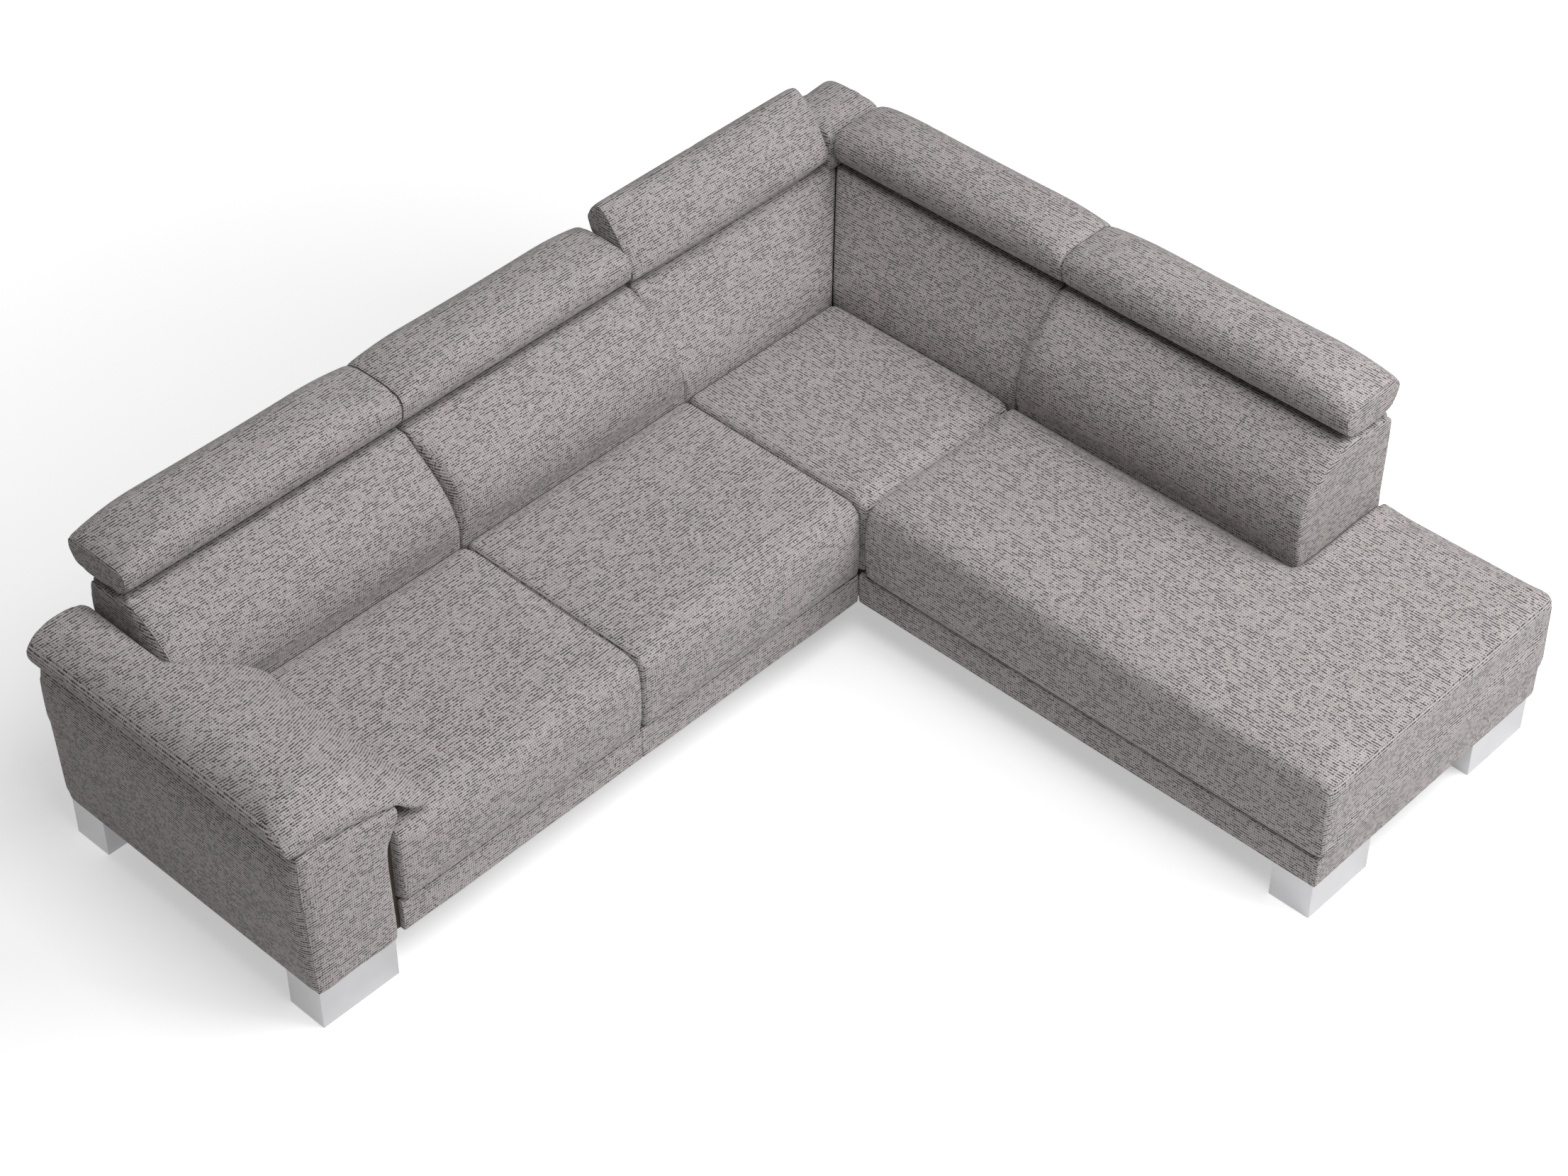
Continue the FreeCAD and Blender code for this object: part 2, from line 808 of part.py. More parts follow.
def back_posts(name, section):
    """Plywood uprights of one back: wide at the seat, narrow at the top."""
    wing = section[0]
    start, end = frame_ends(name, section)
    front = wing["seat"] + back_run + frame_setback
    rear = wing["rear"] - cover_thickness
    posts = []
    for left in (start, end - post_thickness):
        points = [
            Vector(left, front, base_top),
            Vector(left, rear, base_top),
            Vector(left, rear, frame_top - rail_thickness),
            Vector(left, front, frame_top - rail_thickness),
        ]
        posts.append(prism(polygon(points), Vector(post_thickness, 0, 0)))
    return [to_wing(post, wing) for post in posts]


def back_rails(name, section):
    """Top rail that carries the hinges, and a rail between the posts at the seat."""
    wing = section[0]
    start, end = frame_ends(name, section)
    front = wing["seat"] + back_run + frame_setback
    rear = wing["rear"] - cover_thickness
    top = box(
        Vector(start, front, frame_top - rail_thickness),
        Vector(end, rear, frame_top),
    )
    low = box(
        Vector(start + post_thickness, front, seat_height),
        Vector(end - post_thickness, front + rail_thickness, seat_height + rail_height),
    )
    return [to_wing(top, wing), to_wing(low, wing)]


# Headrests and their click hinges


def pivot_of(wing):
    return wing["seat"] + back_run + pivot_back, headrest_level + pivot_up


def headrest_side(wing, along):
    """Side outline of a folded headrest; its lower front edge turns about the pivot."""
    front = wing["seat"] + back_run
    pivot = Vector(along, front + pivot_back, headrest_level + pivot_up)

    def at(shares):
        across, up = shares
        return Vector(
            along, front + across * headrest_depth, headrest_level + up * headrest_thickness
        )

    def on_roll(degrees):
        angle = math.radians(degrees)
        return pivot.add(Vector(0, math.cos(angle), math.sin(angle)) * pivot_back)

    nose = on_roll(180)
    low_front = on_roll(roll_end)
    low_rear = at(bottom_rear_shares)
    rear = at(rear_shares)
    rear_top = at(rear_top_shares[1])
    front_top = at(top_shares[1])
    return outline([
        arc(nose, on_roll((180 + roll_end) / 2), low_front),
        Part.makeLine(low_front, low_rear),
        arc(low_rear, at(rear_low_shares), rear),
        arc(rear, at(rear_top_shares[0]), rear_top),
        arc(rear_top, at(top_shares[0]), front_top),
        arc(front_top, at(front_top_shares), nose),
    ])


def headrest_front(depth, start, end):
    """Front outline: the top falls softly to the flat panels at both ends."""
    slope = (end - start) * headrest_slope_share
    low = headrest_level - headrest_thickness
    panel = headrest_level + headrest_panel_height
    top = headrest_level + headrest_thickness + overrun
    knee = panel + (top - panel) * headrest_knee_share
    left_low = Vector(start, depth, low)
    left_panel = Vector(start, depth, panel)
    left_top = Vector(start + slope, depth, top)
    right_top = Vector(end - slope, depth, top)
    right_panel = Vector(end, depth, panel)
    right_low = Vector(end, depth, low)
    return outline([
        arc(left_panel, Vector(start + slope / 3, depth, knee), left_top),
        Part.makeLine(left_top, right_top),
        arc(right_top, Vector(end - slope / 3, depth, knee), right_panel),
        Part.makeLine(right_panel, right_low),
        Part.makeLine(right_low, left_low),
        Part.makeLine(left_low, left_panel),
    ])


def headrest_form(wing, start, end):
    """A crowned pad with flat end panels."""
    depth = wing["seat"] + back_run - overrun
    long_form = prism(headrest_side(wing, start), Vector(end - start, 0, 0))
    front_form = prism(headrest_front(depth, start, end), Vector(0, headrest_depth + 4 * overrun, 0))
    return long_form.common(front_form)


def hinge_width():
    return hinge_plate + 2 * (hinge_play + hinge_cheek)


def headrest_pocket(wing, place):
    """Foam left out round one hinge: its head, the swing of its stem, its bar and its flange."""
    depth, height = pivot_of(wing)
    half = hinge_width() / 2 + pocket_play
    room = cheek_radius + pocket_play
    side = stem_width / 2 + pocket_play / 2
    floor = headrest_level + board_level + board_thickness - clearance
    far = depth + arm_bar_length + pocket_play
    swing = math.radians(click_angle)
    along = Vector(0, -math.sin(swing), -math.cos(swing))
    across = Vector(0, -math.cos(swing), math.sin(swing))
    pivot = Vector(place - half, depth, height)
    start = pivot.add(across * side).add(along * room)
    points = [
        Vector(pivot.x, far, height + pocket_play),
        Vector(pivot.x, depth + room, height + room),
        Vector(pivot.x, depth - room / 2, height + room),
        Vector(pivot.x, depth - room, height + room / 2),
        start,
        start.add(along * (pivot_back - room / 2)),
        Vector(pivot.x, depth + side, headrest_level - headrest_thickness / 4),
        Vector(pivot.x, depth + side, floor),
        Vector(pivot.x, far, floor),
    ]
    slot = prism(polygon(points), Vector(2 * half, 0, 0))
    flange_half = flange_length / 2 + clearance
    flange = box(
        Vector(place - flange_half, far - flange_width - 2 * pocket_play, floor),
        Vector(place + flange_half, far, floor + flange_thickness + 2 * clearance),
    )
    return slot.fuse(flange)


def headrest_board_box(wing, start, end, play):
    front = wing["seat"] + back_run + board_front
    low = Vector(start + board_end - play, front - play, headrest_level + board_level - play)
    high = Vector(
        end - board_end + play,
        front + board_depth + play,
        headrest_level + board_level + board_thickness + play,
    )
    return box(low, high)


def headrest_cushion(wing, start, end):
    pad = headrest_form(wing, start, end)
    pad = pad.cut(headrest_board_box(wing, start, end, clearance))
    for place in hinge_places(start, end):
        pad = pad.cut(headrest_pocket(wing, place))
    return pad


def ring(centre, radius, angles):
    """Points at angles, in degrees, round a centre in the plane across X."""
    return [
        centre.add(Vector(0, math.cos(math.radians(angle)), math.sin(math.radians(angle))) * radius)
        for angle in angles
    ]


def hinge_cheek_plate(left, wing):
    """One cheek: an eight-sided head round the pin that runs into a bar over the board."""
    depth, height = pivot_of(wing)
    floor = headrest_level + board_level + board_thickness
    far = depth + arm_bar_length
    top = floor + arm_bar_height
    points = ring(Vector(left, depth, height), cheek_radius, cheek_corner_angles)
    points += [
        Vector(left, depth + cheek_radius / 2, floor),
        Vector(left, far, floor),
        Vector(left, far, top),
        Vector(left, depth + cheek_radius * 2, top),
    ]
    return prism(polygon(points), Vector(hinge_cheek, 0, 0))


def pin_bore(wing, place):
    """Hole for the pin, with flats all round that just clear it."""
    depth, height = pivot_of(wing)
    half = hinge_width() / 2 + overrun
    step = 360 / bore_flats
    radius = (pin_radius + pin_play) / math.cos(math.radians(step / 2))
    angles = [step * number for number in range(bore_flats)]
    return prism(polygon(ring(Vector(place - half, depth, height), radius, angles)), Vector(2 * half, 0, 0))


def hinge_arm(wing, place):
    """Two cheeks on the pin, joined by the flange on the board and by the pawl at the teeth."""
    depth, height = pivot_of(wing)
    floor = headrest_level + board_level + board_thickness
    far = depth + arm_bar_length
    half = hinge_plate / 2 + hinge_play
    pawl_start = depth + tooth_tip + pawl_gap
    pawl = prism(
        polygon([
            Vector(place - half, pawl_start, height),
            Vector(place - half, pawl_start, height - pawl_height / 3),
            Vector(place - half, pawl_start + pawl_length, height - pawl_height),
            Vector(place - half, pawl_start + pawl_length, height),
        ]),
        Vector(2 * half, 0, 0),
    )
    flange = box(
        Vector(place - flange_length / 2, far - flange_width, floor),
        Vector(place + flange_length / 2, far, floor + flange_thickness),
    )
    left = hinge_cheek_plate(place - half - hinge_cheek, wing)
    right = hinge_cheek_plate(place + half, wing)
    arm = left.multiFuse([right, pawl, flange]).removeSplitter()
    return arm.cut(pin_bore(wing, place))


def hinge_base(wing, place):
    """Stem with a toothed head, on a foot that is screwed to the back's top rail."""
    depth, height = pivot_of(wing)
    left = place - hinge_plate / 2
    pivot = Vector(left, depth, height)
    points = []
    for number in range(tooth_count):
        angle = tooth_start + number * tooth_step
        points += ring(pivot, tooth_root, (angle,))
        points += ring(pivot, tooth_tip, (angle + tooth_step * tooth_lean_share,))
    points += ring(pivot, tooth_root, head_corner_angles)
    low = pivot_up + headrest_level - frame_top
    points += [
        Vector(left, depth - stem_width / 2, height - tooth_root),
        Vector(left, depth - stem_width / 2, height - low),
        Vector(left, depth + stem_width / 2, height - low),
        Vector(left, depth + stem_width / 2, height - tooth_root),
    ]
    head = prism(polygon(points), Vector(hinge_plate, 0, 0))
    front = wing["seat"] + back_run + frame_setback
    foot = box(
        Vector(place - hinge_foot_length / 2, front, frame_top),
        Vector(place + hinge_foot_length / 2, front + hinge_foot_depth, frame_top + hinge_plate),
    )
    return head.fuse(foot).removeSplitter().cut(pin_bore(wing, place))


def hinge_pin(wing, place):
    depth, height = pivot_of(wing)
    half = hinge_width() / 2 + hinge_play
    return cylinder_x(pin_radius, 2 * half, Vector(place - half, depth, height))


def headrest_ends(section):
    gap = headrest_gap / 2
    return section[3] + gap, section[4] - gap


def raise_headrest(shape, wing, degrees):
    depth, height = pivot_of(wing)
    raised = shape.copy()
    raised.rotate(Vector(0, depth, height), Vector(1, 0, 0), degrees)
    return raised


def headrest(name, section):
    """The moving pieces of one headrest, the corner one fully raised."""
    wing = section[0]
    start, end = headrest_ends(section)
    angle = click_angle if name == "corner" else 0.0
    arms = [hinge_arm(wing, place) for place in hinge_places(start, end)]
    pieces = {
        "headrest_cushion_" + name: headrest_cushion(wing, start, end),
        "headrest_board_" + name: headrest_board_box(wing, start, end, 0.0),
        "hinge_arms_" + name: Part.makeCompound(arms),
    }
    return {
        node: to_wing(raise_headrest(shape, wing, angle), wing)
        for node, shape in pieces.items()
    }


# Arm


def arm_outline(wall):
    """Front outline of the arm's body, or of its inside for a wall above zero."""
    outer = arm_outer + wall
    inner = arm_inner - wall
    low = foot_height - (overrun if wall else 0.0)
    lean = arm_outer - arm_lean + wall
    ear = arm_inner + arm_ear - wall
    top_outer = arm_top_outer - wall
    top_inner = arm_top_inner - wall
    points = [
        Vector(outer, 0, low),
        Vector(outer - arm_lean * arm_lean_low_share, 0, (low + arm_full_height) / 2),
        Vector(lean, 0, arm_full_height),
        Vector(lean, 0, top_outer),
        Vector(ear, 0, top_inner),
        Vector(ear, 0, arm_ear_high),
        Vector(inner, 0, arm_ear_low),
        Vector(inner, 0, low),
    ]
    edges = [arc(points[0], points[1], points[2])]
    for start, end in zip(points[2:], points[3:] + points[:1]):
        edges.append(Part.makeLine(start, end))
    return outline(edges)


def arm_plan():
    """The arm seen from above, with soft upright front edges."""
    left = arm_outer - arm_lean
    right = arm_inner + arm_ear
    front = -arm_nose
    rear = long_depth
    edge = arm_edge
    corner = edge * (1 - math.sqrt(0.5))
    points = [
        Vector(left, rear, 0),
        Vector(left, front + edge, 0),
        Vector(left + edge, front, 0),
        Vector(right, front, 0),
        Vector(right, rear, 0),
    ]
    wire = outline([
        Part.makeLine(points[0], points[1]),
        arc(points[1], Vector(left + corner, front + corner, 0), points[2]),
        Part.makeLine(points[2], points[3]),
        Part.makeLine(points[3], points[4]),
        Part.makeLine(points[4], points[0]),
    ])
    return prism(wire, Vector(0, 0, crease_height))


def back_room():
    """Space that the left back takes above the arm, in front of its rear cover."""
    start = back_left - clearance
    wires = [back_side(long_wing, along, 0.0, 2 * clearance) for along in (start, seats_left + seat_bay)]
    room = loft(wires)
    rear = Vector(start, long_seat_depth + back_run, seat_bottom)
    return room.fuse(box(rear, Vector(seats_left + seat_bay, long_depth + overrun, crease_height)))


def arm_body():
    body = prism(arm_outline(0.0), Vector(0, long_depth + arm_nose, 0))
    body.translate(Vector(0, -arm_nose, 0))
    return body.common(arm_plan())


def arm_cover():
    """Padded cover of the arm, a shell open at the bottom round its wooden frame."""
    body = arm_body()
    inside = prism(arm_outline(arm_cover_wall), Vector(0, long_depth + arm_nose - 2 * arm_cover_wall, 0))
    inside.translate(Vector(0, arm_cover_wall - arm_nose, 0))
    ceiling = Vector(arm_inner + arm_ear, long_depth, arm_shoulder - arm_cover_wall)
    inside = inside.common(box(Vector(arm_outer - arm_lean, -arm_nose, 0), ceiling))
    inside = inside.common(box(
        Vector(arm_outer + arm_cover_wall, -arm_nose, 0),
        Vector(arm_inner - arm_cover_wall, long_depth, arm_shoulder),
    ))
    shoulder = box(
        Vector(back_left - clearance, 0, arm_shoulder - clearance),
        Vector(0, long_depth + overrun, crease_height),
    )
    room = back_room()
    body = body.cut(inside).cut(room.common(shoulder))
    beside = box(Vector(arm_inner, 0, 0), Vector(0, long_depth + overrun, crease_height))
    return body.cut(room.common(beside))


def arm_frame():
    """Boards inside the arm, and the spacer board between the arm and the seats."""
    left = arm_outer + arm_cover_wall
    right = arm_inner - arm_cover_wall
    front = arm_cover_wall - arm_nose
    rear = long_depth - arm_cover_wall
    top = arm_shoulder - arm_cover_wall
    board = arm_board
    outer = box(Vector(left, front, base_low), Vector(left + board, rear, top - board))
    inner = box(Vector(right - board, front, base_low), Vector(right, rear, top - board))
    near = box(Vector(left + board, front, base_low), Vector(right - board, front + board, top - board))
    far = box(Vector(left + board, rear - board, base_low), Vector(right - board, rear, top - board))
    lid = box(Vector(left, front, top - board), Vector(right, rear, top))
    spacer = box(
        Vector(arm_inner, cover_thickness, base_low),
        Vector(seats_left, long_depth - cover_thickness, seat_height - seat_edge),
    )
    return Part.makeCompound([outer, inner, near, far, lid, spacer])


def pad_section(y, lift):
    """Cross-section of the arm pad: high outside, falling to a rounded tip over the seat."""
    rest = clearance
    left = arm_outer - arm_lean
    low_outer = Vector(left, y, arm_top_outer + rest)
    low_inner = Vector(arm_inner + arm_ear, y, arm_top_inner + rest)
    tip_x = arm_inner + pad_reach
    lip = Vector(left - pad_overhang + cover_thickness / 2, y, pad_lip_height)
    tip_low = Vector(tip_x - pad_tip, y, pad_tip_height - pad_tip)
    tip = Vector(tip_x, y, pad_tip_height)
    tip_top = Vector(tip_x - pad_tip, y, pad_tip_height + pad_tip * pad_tip_top_share)

    def lifted(across, height):
        """A point of the upper side, let down to the arm where the pad ends."""
        x = low_outer.x + across * (low_inner.x - low_outer.x)
        rest_height = low_outer.z + across * (low_inner.z - low_outer.z)
        return Vector(x, y, rest_height + lift * (height - rest_height))

    inward, upward = pad_shoulder_shares
    shoulder = lifted(inward, pad_lip_height + (pad_top_height - pad_lip_height) * upward)
    crown = lifted(pad_crown_share, pad_top_height + seat_crown / 3)
    fall = lifted(pad_fall_share, (pad_top_height + arm_top_inner) / 2)
    slope = Vector(
        (fall.x + tip_top.x) / 2 + pad_tip / 2, y, (fall.z + tip_top.z) / 2 + pad_tip / 2
    )
    lip.z = low_outer.z + lift * (lip.z - low_outer.z)
    lip.x = low_outer.x + lift * (lip.x - low_outer.x) - pad_tip / 6
    return outline([
        arc(low_outer, lip, shoulder),
        arc(shoulder, crown, fall),
        arc(fall, slope, tip_top),
        arc(tip_top, tip, tip_low),
        Part.makeLine(tip_low, low_inner),
        Part.makeLine(low_inner, low_outer),
    ])


def arm_pad():
    front = -arm_nose
    least = pad_front_lift / (pad_top_height - arm_top_outer)
    stations = (
        (front, least),
        (front + pad_nose / 5, pad_nose_share),
        (front + pad_nose, 1.0),
        (long_depth, 1.0),
    )
    pad = loft([pad_section(y, lift) for y, lift in stations])
    return pad.cut(back_room())


# Corner block


def corner_block(backs):
    """Padded block that fills the corner between the two rows of headrests."""
    low = Vector(wing_headrest_front, long_headrest_front, rear_cover_height + clearance)
    high = Vector(wing_width, long_depth + block_overhang, corner_block_height)
    block = box(low, high)
    soft = [edge for edge in block.Edges if edge.BoundBox.ZMax > high.z - clearance]
    block = block.makeFillet(block_edge, soft)
    for back in backs:
        block = block.cut(back)
    return block


# All nodes


def base_nodes():
    table = foot_table()
    nodes = {name: foot_body(place) for name, place in table.items()}
    nodes.update({
        "foot_plates": foot_plates(table),
        "foot_blocks": foot_blocks(table),
        "support_legs": support_legs(),
        "long_rails": long_rails(),
        "long_cross_rails": long_cross_rails(),
        "wing_side_rails": wing_side_rails(),
        "wing_cross_rails": wing_cross_rails(),
        "seat_straps": seat_straps(),
        "connector_tongues": connector_tongues(),
        "connector_sockets": connector_sockets(),
        "dust_cover_long": dust_cover_long(),
        "dust_cover_wing": dust_cover_wing(),
    })
    return nodes


def seat_nodes():
    return {
        "seat_cushion_left": long_seat(seats_left + clearance, -seat_bay - clearance),
        "seat_cushion_middle": long_seat(-seat_bay + clearance, -clearance),
        "seat_cushion_corner": corner_seat(),
        "seat_cushion_chaise": chaise_seat(),
    }


def back_nodes(sections):
    nodes = {"back_cushion_" + name: back_cushion(name, part) for name, part in sections.items()}
    posts = []
    rails = []
    bases = []
    pins = []
    for name, section in sections.items():
        wing = section[0]
        posts += back_posts(name, section)
        rails += back_rails(name, section)
        for place in hinge_places(*headrest_ends(section)):
            bases.append(to_wing(hinge_base(wing, place), wing))
            pins.append(to_wing(hinge_pin(wing, place), wing))
    nodes["back_posts"] = Part.makeCompound(posts)
    nodes["back_rails"] = Part.makeCompound(rails)
    nodes["hinge_bases"] = Part.makeCompound(bases)
    nodes["hinge_pins"] = Part.makeCompound(pins)
    nodes["rear_cover_long"] = rear_cover_long()
    nodes["rear_cover_wing"] = rear_cover_wing()
    backs = [nodes["back_cushion_corner"], nodes["back_cushion_right_corner"]]
    nodes["corner_block"] = corner_block(backs)
    return nodes


def all_nodes():
    sections = section_table()
    nodes = base_nodes()
    nodes.update(aprons())
    nodes.update(seat_nodes())
    nodes.update(back_nodes(sections))
    nodes.update({"arm_cover": arm_cover(), "arm_frame": arm_frame(), "arm_pad": arm_pad()})
    for name, section in sections.items():
        nodes.update(headrest(name, section))
    return nodes


def hinge_points(centre):
    """Each headrest's pivot in the finished frame."""
    points = {}
    for name, section in section_table().items():
        wing = section[0]
        depth, height = pivot_of(wing)
        start, end = headrest_ends(section)
        point = Part.Vertex(Vector((start + end) / 2, depth, height))
        points[name] = to_wing(point, wing).Point.sub(centre)
    return points


def floor_centre(nodes):
    """Middle of the whole sofa's outline on the floor, which becomes the origin."""
    whole = FreeCAD.BoundBox()
    for shape in nodes.values():
        whole.add(shape.optimalBoundingBox())
    return Vector(whole.Center.x, whole.Center.y, whole.ZMin), whole


def main():
    os.makedirs("parts", exist_ok=True)
    nodes = all_nodes()
    centre, whole = floor_centre(nodes)
    for name, shape in nodes.items():
        placed = shape.copy()
        placed.translate(centre * -1)
        placed.exportStep("parts/" + name + ".step")
    print("overall", whole.XLength, whole.YLength, whole.ZLength)
    for name, point in hinge_points(centre).items():
        print("pivot", name, point)


main()
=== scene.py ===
import json
import math

import bpy
import numpy as np
from bpy.props import FloatProperty, FloatVectorProperty, PointerProperty
from bpy.types import Operator, Panel, PropertyGroup
from mathutils import Matrix, Vector, noise
from mathutils.bvhtree import BVHTree


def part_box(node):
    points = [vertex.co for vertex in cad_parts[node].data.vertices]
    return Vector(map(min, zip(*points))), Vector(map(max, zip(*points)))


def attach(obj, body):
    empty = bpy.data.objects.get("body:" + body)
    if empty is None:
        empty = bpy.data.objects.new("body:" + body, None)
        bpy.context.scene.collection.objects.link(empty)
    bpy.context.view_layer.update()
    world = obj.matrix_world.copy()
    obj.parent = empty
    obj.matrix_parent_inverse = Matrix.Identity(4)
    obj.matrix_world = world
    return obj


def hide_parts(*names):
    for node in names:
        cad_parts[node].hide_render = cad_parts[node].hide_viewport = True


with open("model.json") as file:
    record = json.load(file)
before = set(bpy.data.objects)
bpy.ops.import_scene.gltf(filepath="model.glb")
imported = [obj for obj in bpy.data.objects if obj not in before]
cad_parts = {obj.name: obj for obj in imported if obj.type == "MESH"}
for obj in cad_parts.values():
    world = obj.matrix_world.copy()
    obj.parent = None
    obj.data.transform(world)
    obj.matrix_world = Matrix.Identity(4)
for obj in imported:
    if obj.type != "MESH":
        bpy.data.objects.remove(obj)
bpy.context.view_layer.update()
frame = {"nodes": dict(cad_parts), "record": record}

bl_info = {
    "name": "Corner sofa with click headrests",
    "version": (1, 0, 0),
    "blender": (4, 5, 0),
    "location": "3D View > Sidebar > Sofa",
    "description": "Dresses the packed corner sofa in woven cloth and sets up its studio",
    "category": "Object",
}

# The sofa's own frame: millimetres from the floor below the inner corner of the two wings.
# X runs to the chaise side, Y to the back of the long wing.
MM = 0.001
inner_corner = Vector((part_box("apron_chaise_inner")[0].x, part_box("apron_middle")[0].y, 0.0))

# Where the pieces begin and end, and how deep and high they are
seats_left = -1460.0
seat_division = -730.0
back_division = -735.0
back_left = -1564.0
corner_seat_front = -20.0
chaise_front = -1373.0
chaise_apron_end = 1342.0
wing_width = 848.0
wing_seat_depth = 526.0
long_seat_depth = 575.0
long_depth = 853.0
wing_back_end = 880.0
wing_division = 27.0
headrest_back_run = 127.0
headrest_level = 722.0
pivot_back = 48.0
pivot_up = 34.0
click_angle = 55.0
seat_low = 208.0
back_low = 210.0
apron_low = 111.0
apron_high = 201.0
rear_top = 682.0
clear = 0.6

# A seat's front stands out over its apron, a little more at its middle
seat_nose = 13.0
seat_bow = 2.0

# The joints between the long wing's backs lean over, from one height up
division_lean = 27.0
lean_low = 430.0
lean_rise = 270.0
lean_fade = 160.0

# Cloth is sewn down below these heights, and this near to an end
seat_seam = 225.0
back_seam = 440.0
sewn_edge = 7.0
back_sewn_edge = 8.0
headrest_sewn_edge = 5.0

# A back is drawn in to its neighbour over this length, and small pieces have a finer cloth grid
back_draw = 52.0
fine_voxel = 0.010

# Padded boards: their thickness and how round their edges are
pad_thick = 17.5
pad_soft = 5.0

LONG = "long"
RIGHT = "right"


def seat_foot(wing):
    return long_seat_depth if wing == LONG else wing_seat_depth


def wing_rear(wing):
    return long_depth if wing == LONG else wing_width


def to_row(wing, along, depth, height):
    """A place along, into and above one wing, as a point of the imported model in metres."""
    x, y = (along, depth) if wing == LONG else (depth, -along)
    return inner_corner + Vector((x, y, height)) * MM


def from_row(wing, p):
    """How far along and into one wing the points of the sofa's own frame are."""
    return (p[:, 0], p[:, 1]) if wing == LONG else (-p[:, 1], p[:, 0])


# Sizes and colours that a user would change


def length_property(name, text, value, low, high):
    return FloatProperty(
        name=name, description=text, default=value, min=low, max=high, subtype="DISTANCE", unit="LENGTH",
    )


def number_property(name, text, value, low, high):
    return FloatProperty(name=name, description=text, default=value, min=low, max=high)


def colour_property(name, text, value):
    return FloatVectorProperty(
        name=name, description=text, subtype="COLOR", default=value, min=0.0, max=1.0,
    )


class SofaSizes(PropertyGroup):
    seat_height: number_property(
        "Seat height", "Floor to the seams of the seats' tops, in millimetres", 426.0, 300.0, 600.0)
    seat_crown: number_property(
        "Seat crown", "Rise of a seat's middle above its edges, in millimetres", 5.0, 0.0, 40.0)
    cloth_voxel: length_property(
        "Cloth grid", "Spacing of the cloth's points before it swells", 0.012, 0.004, 0.03)
    swell: length_property("Swell", "Farthest that the filling pushes the cloth out", 0.006, 0.0, 0.03)
    pressure: number_property(
        "Filling pressure", "Pressure of the filling during the cloth simulation", 4.0, 0.0, 20.0)
    thread_pitch: length_property(
        "Thread pitch", "Distance from one crossing of the weave to the next", 0.006, 0.001, 0.02)
    row_pitch: length_property(
        "Row pitch", "Distance from one row of the weave to the next", 0.0074, 0.001, 0.02)


class SofaFinish(PropertyGroup):
    cloth_light: colour_property(
        "Light thread", "Colour of the weave's light threads", (0.572, 0.528, 0.526))
    # The dark slub colour also paints the shade in the weave's holes.
    cloth_dark: colour_property("Dark slub", "Colour of the dark slubs in the weave", (0.038, 0.034, 0.035))
    foot_metal: colour_property("Feet", "Colour of the satin metal feet", (0.50, 0.50, 0.51))
    lining: colour_property("Lining", "Colour of the cloth under the frame", (0.02, 0.02, 0.021))
    timber: colour_property("Timber", "Colour of the frame's boards", (0.50, 0.34, 0.19))
    hinge_steel: colour_property(
        "Hinge steel", "Colour of the zinc-plated hinges and plates", (0.52, 0.52, 0.53))


class StudioLook(PropertyGroup):
    floor_colour: colour_property("Floor", "Colour of the studio floor", (0.85, 0.85, 0.85))
    ambient: number_property("Ambient light", "Strength of the even light straight above", 0.22, 0.0, 3.0)
    key: number_property(
        "Key light", "Power of the large soft lamp at the front right, in watts", 210.0, 0.0, 2000.0)
    overhead: number_property(
        "Overhead light", "Power of the large soft lamp above the seats, in watts", 275.0, 0.0, 2000.0)
    floor_glow: number_property(
        "Floor glow", "How much paler the camera sees the floor than it is lit", 0.46, 0.0, 1.0)
    focal_length: FloatProperty(
        name="Focal length", description="Focal length of the camera in millimetres",
        default=77.73, min=10.0, max=300.0, unit="CAMERA",
    )


# Shader values written as sums


